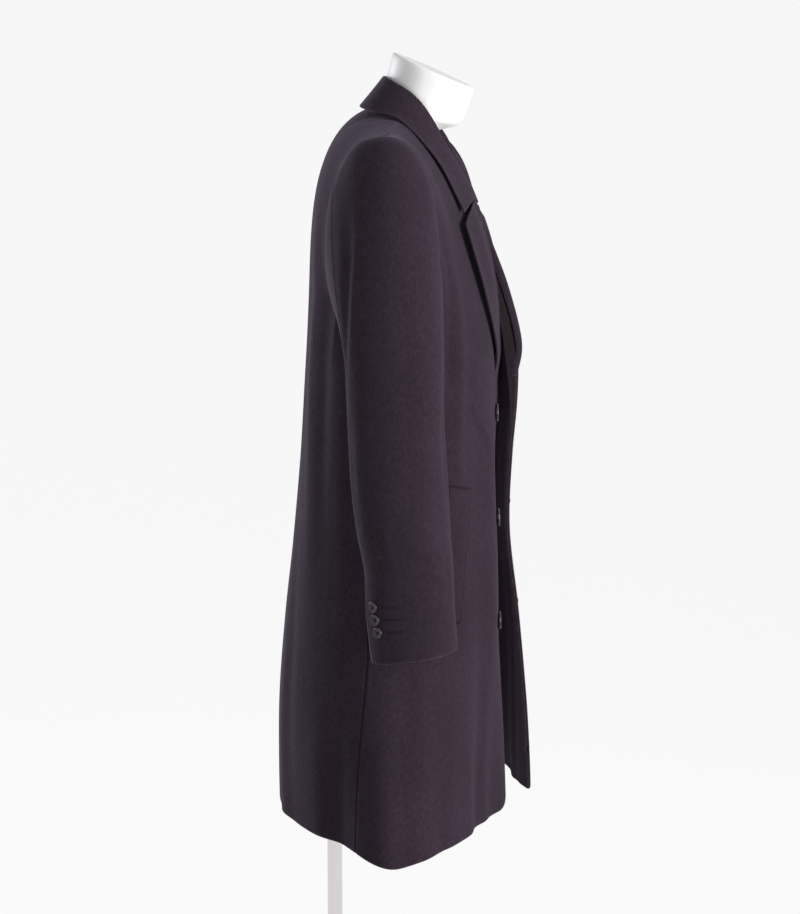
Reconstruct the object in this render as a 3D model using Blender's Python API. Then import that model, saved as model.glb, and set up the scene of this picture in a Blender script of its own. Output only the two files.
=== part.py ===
"""A man's wool overcoat, worn open on a limbless dress form with a pole stand.

Axes: +Z is up, the front of the coat faces -Y and its wearer's right side is -X.
The origin is the centre of the stand base's underside, on the pole's axis.
Sizes are in metres. In the tables, "forward" is the distance in front of the
pole (-Y), "out" is the distance from the middle of the body to either side
(|X|), and "height" is the distance above the floor (Z).
"""
import math

import bmesh
import bpy
import numpy as np
from mathutils import Vector

for leftover in list(bpy.data.objects):
    bpy.data.objects.remove(leftover, do_unlink=True)

# ---------------------------------------------------------------- driving sizes
WALL = 0.0025             # coat cloth with its fusing
GAP = 0.0003              # between pieces that meet
FACING_WALL = 0.0020
LAPEL_WALL = 0.0040       # front cloth and facing, pressed together
COLLAR_WALL = 0.0034      # under collar and top collar
SLEEVE_WALL = 0.0025

EDGE_OUT = 0.045          # each open front edge stands this far from the middle
CORNER_RADIUS = 0.022     # rounded lower corner of each front
FRONT_KICK = 0.013        # how far each front edge swings forward at the hem
KICK_TOP, KICK_DROP, KICK_WIDTH = 0.82, 0.34, 0.050
# a soft fold down the right front beside its edge: distance out, half width and lift, then
# the heights between which it comes up and dies away
FOLD_OUT, FOLD_WIDTH, FOLD_LIFT = 0.087, 0.042, 0.0095
FOLD_TOP, FOLD_RISE, FOLD_FOOT, FOLD_FALL = 1.130, 0.100, 0.540, 0.260

# half of each level section of the body, from the middle of the back to the front edge
SECTION_COLUMNS = ("height", "back", "half_width", "widest", "front",
                   "square_back", "square_front", "seam_share", "ease_left")
SECTIONS = (
    (1.240, -0.019, 0.209, 0.104, 0.232, 2.35, 2.30, 0.500, 0.004),
    (1.130, -0.027, 0.214, 0.102, 0.243, 2.35, 2.50, 0.505, 0.023),
    (1.000, -0.037, 0.212, 0.102, 0.241, 2.30, 2.50, 0.508, 0.015),
    (0.880, -0.049, 0.213, 0.104, 0.245, 2.20, 2.45, 0.516, 0.007),
    (0.760, -0.064, 0.224, 0.108, 0.247, 2.00, 2.35, 0.528, 0.018),
    (0.640, -0.075, 0.246, 0.116, 0.248, 1.85, 2.20, 0.514, 0.023),
    (0.540, -0.078, 0.262, 0.122, 0.248, 1.72, 2.10, 0.500, 0.025),
    (0.460, -0.078, 0.275, 0.127, 0.249, 1.65, 2.10, 0.490, 0.025),
)

# soft vertical drapes of the skirt: place on the half section (0 back, 1 front edge),
# half width as a share, depth at the hem (plus stands out), and the height where each starts
# columns: place, spread, depth, start
DRAPES = (
    (0.20, 0.070, 0.0050, 0.98),
    (0.45, 0.090, -0.0100, 0.80),
    (0.57, 0.050, 0.0040, 0.80),
    (0.70, 0.045, -0.0040, 0.86),
    (0.86, 0.050, -0.0060, 0.92),
)

DRAPE_CENTRE = 0.11       # drapes swell away from this place, forward of the pole

# height of the hem along the half section; it hangs lowest at the sides
HEM_COLUMNS = ("place", "height")
HEM = (
    (0.00, 0.4880),
    (0.25, 0.4880),
    (0.42, 0.4870),
    (0.49, 0.4815),
    (0.54, 0.4735),
    (0.59, 0.4695),
    (0.64, 0.4745),
    (0.69, 0.4790),
    (0.75, 0.4830),
    (0.85, 0.4850),
    (0.93, 0.4880),
    (1.00, 0.4895),
)
HEM_LEFT_DROP = 0.006     # the left front edge hangs a little lower
SHOULDER_HOLLOW = 0.0025  # sag of the shoulder seam

# the armhole, where the sleeve is set in: turn 0 is the shoulder point, then down the
# front, 0.5 under the arm, and up the back
# columns: turn, out, forward, height
ARMHOLE = (
    (0.000, 0.2250, 0.1120, 1.4380),
    (0.060, 0.2225, 0.1415, 1.4320),
    (0.120, 0.2160, 0.1640, 1.4060),
    (0.190, 0.2070, 0.1775, 1.3620),
    (0.260, 0.2020, 0.1805, 1.3120),
    (0.330, 0.1990, 0.1890, 1.2540),
    (0.385, 0.1985, 0.1870, 1.2150),
    (0.440, 0.2010, 0.1620, 1.1950),
    (0.500, 0.2040, 0.1240, 1.1900),
    (0.570, 0.2030, 0.0830, 1.1960),
    (0.640, 0.1990, 0.0530, 1.2160),
    (0.710, 0.1955, 0.0385, 1.2560),
    (0.780, 0.1950, 0.0350, 1.3060),
    (0.850, 0.1990, 0.0420, 1.3560),
    (0.920, 0.2090, 0.0600, 1.4030),
    (0.965, 0.2185, 0.0830, 1.4300),
)

LEFT_BACK = 0.016         # the coat sits turned on the form: the left armhole and sleeve are this far back

# how the cloth leaves the neck, the shoulder seam and the roll line: share of the panel's
# width, the direction at the seam, and how far the cloth keeps it
LAY_COLUMNS = ("share", "go_out", "go_forward", "go_up", "reach")
BACK_LAY = (
    (0.00, 0.00, -0.995, 0.05, 0.147),
    (0.26, 0.00, -0.995, 0.07, 0.145),
    (0.53, 0.00, -0.995, 0.04, 0.123),
    (0.80, -0.05, -0.99, -0.05, 0.085),
)
FRONT_LAY = (
    (0.37, -0.05, 0.98, -0.08, 0.085),
    (0.55, 0.00, 0.86, -0.48, 0.100),
    (0.74, 0.12, 0.72, -0.68, 0.110),
    (0.82, 0.30, 0.34, -0.89, 0.085),
    (0.91, 0.25, 0.12, -0.96, 0.065),
    (1.00, 0.00, 0.01, -1.00, 0.040),
)
BACK_RISE, FRONT_RISE = 0.58, 0.27        # how far the chest's upright run reaches up
BACK_NECK_SHARE, BACK_ARM_SHARE = 0.26, 0.80
FRONT_ARM_SHARE, FRONT_NECK_SHARE = 0.37, 0.74
BACK_ARM_TURN, FRONT_ARM_TURN = 0.660, 0.375     # the armhole's lower corners
BRIDGE, BRIDGE_DOWN = (0.58, 0.90), 0.34      # smooth cloth below the neck corner
ARM_CORNER = 0.8                          # how far down the upper grid each corner lies
UPPER_JOIN, FRONT_JOIN = 1.130, 0.985     # where the skirt begins, at the sides and the front edge

NECK_SHOULDER = (0.086, 0.1160, 1.4660)   # out, forward, height
NECK_BACK_FORWARD = 0.0560                # where the neckline crosses the middle of the back
RIDGE_RISE = 0.0200                       # the shoulder line carried on across the neck hole

# the roll line, where each front turns back into its lapel, from the neck to the break
ROLL_COLUMNS = ("run", "out", "forward", "height", "ease_left")
ROLL = (
    (0.00, 0.0860, 0.1160, 1.4660, 0.000),
    (0.08, 0.0795, 0.1450, 1.4460, -0.005),
    (0.18, 0.0710, 0.1720, 1.4120, -0.013),
    (0.28, 0.0630, 0.1930, 1.3760, -0.018),
    (0.38, 0.0560, 0.2095, 1.3380, -0.016),
    (0.50, 0.0510, 0.2235, 1.2900, -0.0105),
    (0.64, 0.0480, 0.2345, 1.2330, 0.001),
    (0.78, 0.0465, 0.2385, 1.1750, 0.0145),
    (0.90, 0.0455, 0.2415, 1.1300, 0.0195),
    (1.00, 0.0450, 0.2435, 1.0950, 0.0180),
)
GORGE_RUN = 0.328         # where the collar ends and the lapel begins, along the roll line

# the lapel leaf: place down the roll line, width of the leaf, fall of its crosswise lines, and
# air between the free edge and the front, on each side
LAPEL_COLUMNS = ("run", "width", "drop", "air_right", "air_left")
LAPEL = (
    (0.352, 0.0600, 0.0215, 0.0140, 0.0015),
    (0.450, 0.0615, 0.0210, 0.0145, 0.0015),
    (0.600, 0.0525, 0.0175, 0.0135, 0.0015),
    (0.750, 0.0365, 0.0115, 0.0090, 0.0010),
    (0.880, 0.0190, 0.0070, 0.0035, 0.0005),
    (0.985, 0.0060, 0.0025, 0.0002, 0.0003),
)
NOTCH_AT, NOTCH_DROP, NOTCH_FADE = 0.50, 0.0070, 0.14
LAPEL_BELLY = 0.003       # fullness of the free edge
LEAF_START = 0.12         # where the leaf lies flat, as a share of its width from the roll line
LIP_STEP = 0.008          # the lip follows the front this far from the roll line
# section of the roll: distance from the roll line into the front, and height above its face
ROLL_AIR = 0.0025         # air under the leaf beside the roll
ROLL_SECTION = ((-0.0042, -0.0040), (-0.0056, -0.0008), (-0.0050, 0.0030), (-0.0014, 0.0056))

# the collar, along the neck from the middle of the back to the gorge: its fold and free edge
COLLAR_COLUMNS = ("run", "fold_out", "fold_forward", "fold_height",
                  "edge_out", "edge_forward", "edge_height", "ease_left")
COLLAR = (
    (0.00, 0.000, 0.0770, 1.5215, 0.000, 0.0475, 1.4810, 0.000),
    (0.14, 0.040, 0.0860, 1.5195, 0.056, 0.0520, 1.4785, -0.002),
    (0.30, 0.066, 0.1060, 1.5100, 0.094, 0.0750, 1.4725, -0.010),
    (0.42, 0.074, 0.1300, 1.4950, 0.108, 0.1070, 1.4665, -0.018),
    (0.56, 0.071, 0.1510, 1.4690, 0.111, 0.1310, 1.4530, -0.024),
    (0.70, 0.066, 0.1720, 1.4310, 0.112, 0.1530, 1.4320, -0.025),
    (0.84, 0.061, 0.1935, 1.3930, 0.109, 0.1775, 1.4000, -0.0245),
    (1.00, 0.0565, 0.2125, 1.3590, 0.110, 0.2090, 1.3390, -0.020),
)
COLLAR_SHOULDER_RUN = 0.42              # where the collar passes the shoulder seam
STAND_LIFT = 0.0016                     # foot of the stand above the neck seam
EASE_RAISE = 0.09                       # the left half, further back, also rides this share higher
COLLAR_SEAT = 0.0027                    # least air under the fall
# rows of the collar: -1 is the foot of the stand, 0 the fold, 1 the free edge; rounding of each
COLLAR_SECTION = ((-1.0, 0.0), (-0.6, 0.0), (-0.25, 0.0), (-0.06, -0.0004), (0.06, -0.0004),
                  (0.25, 0.0008), (0.5, 0.0014), (0.75, 0.0010), (1.0, 0.0))

# level sections of the sleeve, and the place of its back seam on them
SLEEVE_COLUMNS = ("height", "out", "forward", "half_depth", "half_width", "back_seam", "tilt")
SLEEVE = (
    (1.130, 0.2670, 0.1385, 0.0640, 0.0460, -76.0, 0.0000),
    (1.060, 0.2660, 0.1400, 0.0630, 0.0455, -80.0, 0.0000),
    (0.990, 0.2660, 0.1435, 0.0628, 0.0460, -80.0, 0.0010),
    (0.930, 0.2670, 0.1495, 0.0610, 0.0460, -79.0, 0.0020),
    (0.880, 0.2675, 0.1570, 0.0585, 0.0450, -77.0, 0.0040),
    (0.830, 0.2690, 0.1590, 0.0585, 0.0440, -66.0, 0.0070),
    (0.767, 0.2760, 0.1660, 0.0570, 0.0440, -56.0, 0.0100),
)
SLEEVE_SQUARE = 2.25
ARMHOLE_SEAT = 0.0009           # sleeves start this far off the armhole
SLEEVE_FRONT_SEAM = 148.0       # degrees forward from the outermost line
SLEEVE_TOP_SEAM = -36.0         # where the back seam meets the armhole
HEAD_RISE = 0.42                # how far the arm's upright run reaches up
# how the sleeve head leaves the armhole, by turn
HEAD_COLUMNS = ("turn", "go_out", "go_forward", "go_up", "reach")
HEAD = (
    (0.00, 0.97, 0.05, 0.16, 0.055),
    (0.13, 0.90, 0.30, 0.05, 0.045),
    (0.26, 0.62, 0.30, -0.72, 0.045),
    (0.38, 0.40, 0.10, -0.91, 0.030),
    (0.50, 0.50, 0.00, -0.87, 0.022),
    (0.63, 0.45, -0.05, -0.89, 0.030),
    (0.76, 0.66, -0.12, -0.74, 0.045),
    (0.88, 0.90, -0.22, 0.02, 0.045),
    (1.00, 0.97, 0.05, 0.16, 0.055),
)

# buttons: radius, thickness of the rim, dish depth
FRONT_BUTTON = (0.0125, 0.0042, 0.0012)
CUFF_BUTTON = (0.0075, 0.0034, 0.0009)
FRONT_BUTTON_HEIGHTS = (1.062, 0.915, 0.768)
FRONT_BUTTON_INSET = 0.022      # from the front edge
CUFF_BUTTON_RISES = (0.040, 0.056, 0.072)    # above the cuff's edge
CUFF_BUTTON_TURN = 25.0         # degrees in front of the sleeve's back seam

# slanted welt of each side pocket, on its front panel
WELT_TOP_HEIGHT, WELT_FOOT_HEIGHT = 0.978, 0.795
WELT_TOP_SHARE, WELT_FOOT_SHARE = 0.618, 0.508      # front edge of the welt
WELT_WIDTH_SHARE = 0.175
WELT_TILT = 0.010          # how much lower the ends lie at the front edge than at the back
WELT_WALL, WELT_SEAT = 0.0030, 0.0009

# the dress form: rings from the hip to the neck's flat top
# columns: height, forward, half_depth, half_width, square, tilt
FORM = (
    (0.8000, 0.0660, 0.0940, 0.1460, 2.20, 0.0),
    (0.8150, 0.0660, 0.0990, 0.1510, 2.20, 0.0),
    (0.9000, 0.0680, 0.1010, 0.1560, 2.20, 0.0),
    (1.0200, 0.0860, 0.0960, 0.1480, 2.20, 0.0),
    (1.1500, 0.0980, 0.1020, 0.1620, 2.20, 0.0),
    (1.2600, 0.0980, 0.0960, 0.1740, 2.20, 0.0),
    (1.3400, 0.0960, 0.0780, 0.1800, 2.10, 0.0),
    (1.3900, 0.0970, 0.0636, 0.1897, 1.80, 0.0),
    (1.4200, 0.1010, 0.0528, 0.1809, 1.50, 0.0),
    (1.4365, 0.1040, 0.0463, 0.1591, 1.30, 0.0),
    (1.4475, 0.1050, 0.0440, 0.1134, 1.30, 3.0),
    (1.4570, 0.1115, 0.0510, 0.0780, 1.60, 9.0),
    (1.4720, 0.1260, 0.0570, 0.0640, 2.00, 17.0),
    (1.4980, 0.1362, 0.0605, 0.0600, 2.00, 23.0),
    (1.5250, 0.1442, 0.0612, 0.0600, 2.00, 24.0),
    (1.5290, 0.1458, 0.0590, 0.0575, 2.00, 24.0),
)
FORM_SIDES = 32

POLE_RADIUS = 0.011
BASE_RADIUS = 0.190
BASE_RIM, BASE_CROWN = 0.006, 0.014     # thickness at the rim and round the pole
BASE_ROUND = (0.003, 0.002)             # rounding of the rim, inwards and upwards
BASE_CROWN_RADIUS = 0.030
BASE_SIDES, POLE_SIDES = 40, 20

# cloth grid: cells across each stretch and down
NECK_CELLS, SHOULDER_CELLS, ROLL_CELLS = 5, 7, 7
UNDER_BACK_CELLS, UNDER_FRONT_CELLS = 3, 4
UPPER_CELLS, SKIRT_CELLS = 10, 9
SLEEVE_TOP_CELLS, SLEEVE_UNDER_CELLS, HEAD_CELLS, ARM_CELLS = 12, 8, 7, 10
COLLAR_CELLS = 13
LAPEL_CELLS, LAPEL_CROSS = 9, 6
FACING_CELLS = 6          # columns of each front that its facing lies behind
WELT_CELLS, WELT_CROSS = 8, 4
BUTTON_SIDES = 14
BUTTON_SEAT = 0.0005

LEFT, RIGHT = 1.0, -1.0
SIDES = ((LEFT, "left"), (RIGHT, "right"))

NAVY = (0.022, 0.018, 0.028)
NAVY_FACING = (0.018, 0.015, 0.022)
HORN = (0.012, 0.012, 0.015)
FORM_WHITE = (0.82, 0.80, 0.79)
CHROME = (0.62, 0.62, 0.64)


# ---------------------------------------------------------------- curves
def cubic(stations, values, at):
    """Smooth curve through values at rising stations, slopes from the neighbours."""
    stations = np.asarray(stations, float)
    values = np.asarray(values, float)
    at = np.clip(np.asarray(at, float), stations[0], stations[-1])
    secant = np.diff(values) / np.diff(stations)
    slope = np.empty_like(values)
    slope[1:-1] = 0.5 * (secant[1:] + secant[:-1])
    slope[0], slope[-1] = secant[0], secant[-1]
    cell = np.clip(np.searchsorted(stations, at, side="right") - 1, 0, len(stations) - 2)
    width = stations[cell + 1] - stations[cell]
    t = (at - stations[cell]) / width
    return ((1 + 2 * t) * (1 - t) ** 2 * values[cell] + t * (1 - t) ** 2 * width * slope[cell]
            + t * t * (3 - 2 * t) * values[cell + 1] + t * t * (t - 1) * width * slope[cell + 1])


def column(table, names, key, name, at):
    """Read one named column of a table at values of its key column."""
    rows = np.asarray(table, float)
    rows = rows[np.argsort(rows[:, names.index(key)])]
    return cubic(rows[:, names.index(key)], rows[:, names.index(name)], at)


def bump(x):
    """A smooth hill: 1 in the middle and 0 from -1 and 1 outwards."""
    return np.where(np.abs(x) < 1, 0.5 + 0.5 * np.cos(np.pi * np.clip(x, -1, 1)), 0.0)


def smoothstep(x):
    """A soft step: 0 up to 0, 1 from 1 on."""
    x = np.clip(x, 0, 1)
    return x * x * (3 - 2 * x)


def unit(vectors):
    """Vectors of length one."""
    return vectors / np.maximum(np.linalg.norm(vectors, axis=-1, keepdims=True), 1e-12)


def place(out, forward, height, side=LEFT):
    """Points from their distance out, forward and up, on one side of the body."""
    out, forward, height = np.broadcast_arrays(out, forward, height)
    return np.stack([side * out, -forward, height], axis=-1)


# ---------------------------------------------------------------- the body's surface
def along(lengths, values, wanted):
    """Read values at wanted lengths, each point along its own row of rising lengths."""
    cell = np.clip((lengths < wanted[..., None]).sum(axis=-1) - 1, 0, lengths.shape[-1] - 2)[..., None]
    low, high = (np.take_along_axis(lengths, cell + k, axis=-1)[..., 0] for k in (0, 1))
    first, second = (np.take_along_axis(values, cell + k, axis=-1)[..., 0] for k in (0, 1))
    return first + (second - first) * (wanted - low) / np.maximum(high - low, 1e-9)


def section_point(height, share, side):
    """Point on the level section at a height, share of the way round from back to front:
    a quarter oval from the back to the widest place and one from there to the edge."""
    def read(name):
        return column(SECTIONS, SECTION_COLUMNS, "height", name, height)[..., None]
    height, share = np.broadcast_arrays(np.asarray(height, float), np.asarray(share, float))
    back, half_width, widest, front = (read(name) for name in ("back", "half_width", "widest", "front"))
    angles = np.linspace(0, 0.5 * np.pi, 65)
    power_back, power_front = 2.0 / read("square_back"), 2.0 / read("square_front")
    outs = np.concatenate([half_width * np.sin(angles) ** power_back,
                           half_width * np.cos(angles[1:]) ** power_front], axis=-1)
    forwards = np.concatenate([widest - (widest - back) * np.cos(angles) ** power_back,
                               widest + (front - widest) * np.sin(angles[1:]) ** power_front], axis=-1)
    steps = np.hypot(np.diff(outs, axis=-1), np.diff(forwards, axis=-1))
    lengths = np.concatenate([np.zeros_like(steps[..., :1]), np.cumsum(steps, axis=-1)], axis=-1)
    ahead = np.s_[..., len(angles) - 1:]
    edge = along(-outs[ahead], lengths[ahead], np.full(height.shape, -EDGE_OUT))
    out = along(lengths, outs, share * edge)
    forward = along(lengths, forwards, share * edge)
    kick = bump((out - EDGE_OUT) / KICK_WIDTH) * (share > 0.6)
    forward = forward + FRONT_KICK * smoothstep((KICK_TOP - height) / KICK_DROP) * kick
    if side == LEFT:
        forward = forward + smoothstep((share - 0.55) / 0.45) * read("ease_left")[..., 0]
    else:
        fold = bump((out - FOLD_OUT) / FOLD_WIDTH) * (share > 0.6)
        fold = fold * smoothstep((FOLD_TOP - height) / FOLD_RISE)
        forward = forward + FOLD_LIFT * fold * smoothstep((height - FOLD_FOOT) / FOLD_FALL)
    for middle, spread, depth, start in DRAPES:
        swell = depth * bump((share - middle) / spread)
        swell = swell * smoothstep((start - height) / (start - HEM[0][1])) ** 1.5
        outward = np.arctan2(out, DRAPE_CENTRE - forward)
        out = out + swell * np.sin(outward)
        forward = forward - swell * np.cos(outward)
    return place(out, forward, height, side)


def total_share(height, share, panel):
    """Share of the whole half section for a share of the back or front panel."""
    seam = column(SECTIONS, SECTION_COLUMNS, "height", "seam_share", height)
    return seam * share if panel == "back" else seam + (1 - seam) * share


def armhole_point(turn, side):
    """Point on the closed armhole line."""
    rows = np.asarray(ARMHOLE, float)
    before = rows[-3:] - np.array([1, 0, 0, 0])
    after = rows[:3] + np.array([1, 0, 0, 0])
    rows = np.concatenate([before, rows, after])
    out, forward, height = (cubic(rows[:, 0], rows[:, k], turn) for k in (1, 2, 3))
    return place(out, forward - LEFT_BACK * (side == LEFT), height, side)


def roll_point(run, side):
    """Point on the roll line; the left front hangs a little further forward."""
    out, forward, height = (column(ROLL, ROLL_COLUMNS, "run", name, run)
                            for name in ("out", "forward", "height"))
    if side == LEFT:
        forward = forward + column(ROLL, ROLL_COLUMNS, "run", "ease_left", run)
    return place(out, forward, height, side)


def shoulder_point(share, side):
    """Along the shoulder seam from the neck (0) to the shoulder point (1)."""
    share = np.clip(share, 0, 1)[..., None]
    start, end = place(*NECK_SHOULDER, side), armhole_point(0.0, side)
    return start + (end - start) * share - place(0, 0, SHOULDER_HOLLOW, side) * np.sin(np.pi * share)


def top_point(share, panel, side):
    """Upper line of a panel, away from the armhole. On the back it runs straight on across
    the neck hole, whose edge is cut from the cloth below."""
    if panel == "back":
        shoulder = (share - BACK_NECK_SHARE) / (BACK_ARM_SHARE - BACK_NECK_SHARE)
        near = np.clip(share / BACK_NECK_SHARE, 0, 1)
        inner = place(NECK_SHOULDER[0] * near, NECK_SHOULDER[1],
                      NECK_SHOULDER[2] + RIDGE_RISE * (1 - near ** 2), side)
        is_inner = share < BACK_NECK_SHARE
    else:
        shoulder = (FRONT_NECK_SHARE - share) / (FRONT_NECK_SHARE - FRONT_ARM_SHARE)
        inner = roll_point(np.clip((share - FRONT_NECK_SHARE) / (1 - FRONT_NECK_SHARE), 0, 1), side)
        is_inner = share > FRONT_NECK_SHARE
    return np.where(is_inner[..., None], inner, shoulder_point(shoulder, side))


def join_height(share, panel):
    """Height at which each upper column runs into the skirt."""
    if panel == "back":
        return np.full_like(share, UPPER_JOIN)
    fall = smoothstep((share - FRONT_ARM_SHARE) / (1 - FRONT_ARM_SHARE))
    return UPPER_JOIN + (FRONT_JOIN - UPPER_JOIN) * fall


def hem_height(share, panel, side):
    """The hem dips at the sides and rounds off at the front edges."""
    around = total_share(np.full_like(share, HEM[0][1]), share, panel)
    height = column(HEM, HEM_COLUMNS, "place", "height", around)
    if side == LEFT:
        height = height - HEM_LEFT_DROP * smoothstep((around - 0.7) / 0.2)
    if panel == "front":
        flat = section_point(height, around, side)
        inside = np.clip(1 - (np.abs(flat[..., 0]) - EDGE_OUT) / CORNER_RADIUS, 0, 1)
        height = height + 0.9 * CORNER_RADIUS * (1 - np.sqrt(1 - inside ** 2))
    return height


def chest_foot(share, panel, side):
    """Where an upper column meets the skirt, and the direction in which it runs up."""
    join = join_height(share, panel)
    foot = section_point(join, total_share(join, share, panel), side)
    higher = section_point(join + 0.02, total_share(join + 0.02, share, panel), side)
    return foot, unit(higher - foot)


def fall_curve(top, go, reach, foot, rise, reach_up, down):
    """Cubic curve that leaves the top in one direction and runs into the foot in another."""
    t = down[..., None]
    drop = np.linalg.norm(top - foot, axis=-1, keepdims=True)
    first, second = top + unit(go) * reach[..., None], foot + rise * reach_up * drop
    return ((1 - t) ** 3 * top + 3 * t * (1 - t) ** 2 * first
            + 3 * t * t * (1 - t) * second + t ** 3 * foot)


def under_arm(share, down, panel, side):
    """Cloth below the armhole, from its lower edge to the skirt; down runs from the corner."""
    if panel == "back":
        turn = BACK_ARM_TURN + (0.5 - BACK_ARM_TURN) * (share - BACK_ARM_SHARE) / (1 - BACK_ARM_SHARE)
    else:
        turn = 0.5 + (FRONT_ARM_TURN - 0.5) * share / FRONT_ARM_SHARE
    top = armhole_point(turn, side)
    foot, rise = chest_foot(share, panel, side)
    t = np.clip((down - ARM_CORNER) / (1 - ARM_CORNER), 0, 1)
    return fall_curve(top, place(0.12, 0, -1, side), np.full_like(t, 0.02), foot, rise, 0.3, t)


def arm_edge(down, panel, side):
    """The armhole from the shoulder point to its lower corner, then on down to the skirt."""
    corner, last = (BACK_ARM_TURN, 1.0) if panel == "back" else (FRONT_ARM_TURN, 0.0)
    turn = last + (corner - last) * np.clip(down / ARM_CORNER, 0, 1)
    share = np.full_like(down, BACK_ARM_SHARE if panel == "back" else FRONT_ARM_SHARE)
    below = under_arm(share, down, panel, side)
    return np.where((down <= ARM_CORNER)[..., None], armhole_point(turn, side), below)


def chest(share, down, panel, side):
    """Cloth between the armhole and the middle of the back or the front edge."""
    if panel == "back":
        down = below_neckline(share, down, side)
    return drape_chest(share, down, panel, side)


def below_neckline(share, down, side):
    """On the back, start each column at the neckline: a curve in plan round the neck."""
    near = np.clip(share / BACK_NECK_SHARE, 0, 1)
    depth = (NECK_SHOULDER[1] - NECK_BACK_FORWARD) * np.cos(0.5 * np.pi * near)
    tries = np.linspace(0, 0.5, 41)
    column_points = drape_chest(share[..., None], tries, "back", side)
    start = along(NECK_SHOULDER[1] + column_points[..., 1], tries + 0 * share[..., None], depth)
    start = np.where(near < 1, start, 0)
    return start + (1 - start) * down


def neck_point(share, side):
    """Along the back neck from the middle (0) to the shoulder seam (1)."""
    share = np.clip(share, 0, 1) * BACK_NECK_SHARE
    return chest(share, np.zeros_like(share), "back", side)


def drape_chest(share, down, panel, side):
    """The chest's surface: columns that leave the top line and run into the skirt."""
    share, down = np.broadcast_arrays(share, down)
    lay, reach_up = (BACK_LAY, BACK_RISE) if panel == "back" else (FRONT_LAY, FRONT_RISE)
    arm = BACK_ARM_SHARE if panel == "back" else FRONT_ARM_SHARE
    neck = BACK_NECK_SHARE if panel == "back" else FRONT_NECK_SHARE

    def fall(at):
        foot, rise = chest_foot(at, panel, side)
        go = place(*(column(lay, LAY_COLUMNS, "share", name, at)
                     for name in ("go_out", "go_forward", "go_up")), side)
        reach = column(lay, LAY_COLUMNS, "share", "reach", at)
        return fall_curve(top_point(at, panel, side), go, reach, foot, rise, reach_up, down)

    to_arm = arm_edge(down, panel, side) - fall(np.full_like(share, arm))

    def cloth(at):
        near_arm = np.clip(1 - (at - arm) / (neck - arm), 0, 1)[..., None] ** 2
        return fall(at) + to_arm * near_arm

    if panel == "back":
        return cloth(share)
    first, last = BRIDGE
    start, end = np.full_like(share, first), np.full_like(share, last)
    t = np.clip((share - first) / (last - first), 0, 1)[..., None]
    leave = (cloth(start) - cloth(start - 0.02)) * (last - first) / 0.02
    arrive = (cloth(end + 0.02) - cloth(end)) * (last - first) / 0.02
    across = ((1 + 2 * t) * (1 - t) ** 2 * cloth(start) + t * (1 - t) ** 2 * leave
              + t * t * (3 - 2 * t) * cloth(end) - t * t * (1 - t) * arrive)
    free = (smoothstep(down / BRIDGE_DOWN) * ((share > first) & (share < last)))[..., None]
    return cloth(share) * (1 - free) + across * free


def body_point(share, down, panel, side):
    """Outer face of a panel: share across it, down 0 to 1 above the skirt and 1 to 2 in it."""
    share, down = np.broadcast_arrays(np.asarray(share, float), np.asarray(down, float))
    upper_down = np.clip(down, 0, 1)
    under = share > BACK_ARM_SHARE if panel == "back" else share < FRONT_ARM_SHARE
    upper = np.where(under[..., None], under_arm(share, upper_down, panel, side),
                     chest(share, upper_down, panel, side))
    join = join_height(share, panel)
    height = join + (hem_height(share, panel, side) - join) * np.clip(down - 1, 0, 1)
    skirt = section_point(height, total_share(height, share, panel), side)
    return np.where((down <= 1)[..., None], upper, skirt)


def stretch(*parts):
    """Stations through (start, end, cells) parts, each end met once."""
    stations = [parts[0][0]]
    for start, end, cells in parts:
        stations.extend(np.linspace(start, end, cells + 1)[1:])
    return np.array(stations)


# ---------------------------------------------------------------- solids from grids
def grid_normals(grid, side=LEFT):
    """Outward normals of a grid whose rows run down and whose columns run round to the front."""
    return -side * unit(np.cross(np.gradient(grid, axis=0), np.gradient(grid, axis=1)))


def pull_in(grid, edges, amount=0.5 * GAP):
    """Draw chosen edges of a grid back along its surface, to part it from its neighbour."""
    grid = grid.copy()
    ends = {"top": (np.s_[0], np.s_[1]), "foot": (np.s_[-1], np.s_[-2]),
            "start": (np.s_[:, 0], np.s_[:, 1]), "end": (np.s_[:, -1], np.s_[:, -2])}
    for edge in edges:
        border, inner = ends[edge]
        grid[border] = grid[border] + unit(grid[inner] - grid[border]) * amount
    return grid


def mesh_object(name, points, faces, material, smooth_angle=50.0):
    mesh = bpy.data.meshes.new(name)
    mesh.from_pydata([tuple(point) for point in points], [], faces)
    work = bmesh.new()
    work.from_mesh(mesh)
    loose = [vertex for vertex in work.verts if not vertex.link_faces]
    bmesh.ops.delete(work, geom=loose, context="VERTS")
    bmesh.ops.recalc_face_normals(work, faces=work.faces)
    work.to_mesh(mesh)
    work.free()
    mesh.materials.append(material)
    mesh.shade_smooth()
    mesh.set_sharp_from_angle(angle=math.radians(smooth_angle))
    piece = bpy.data.objects.new(name, mesh)
    bpy.context.scene.collection.objects.link(piece)
    return piece


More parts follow.
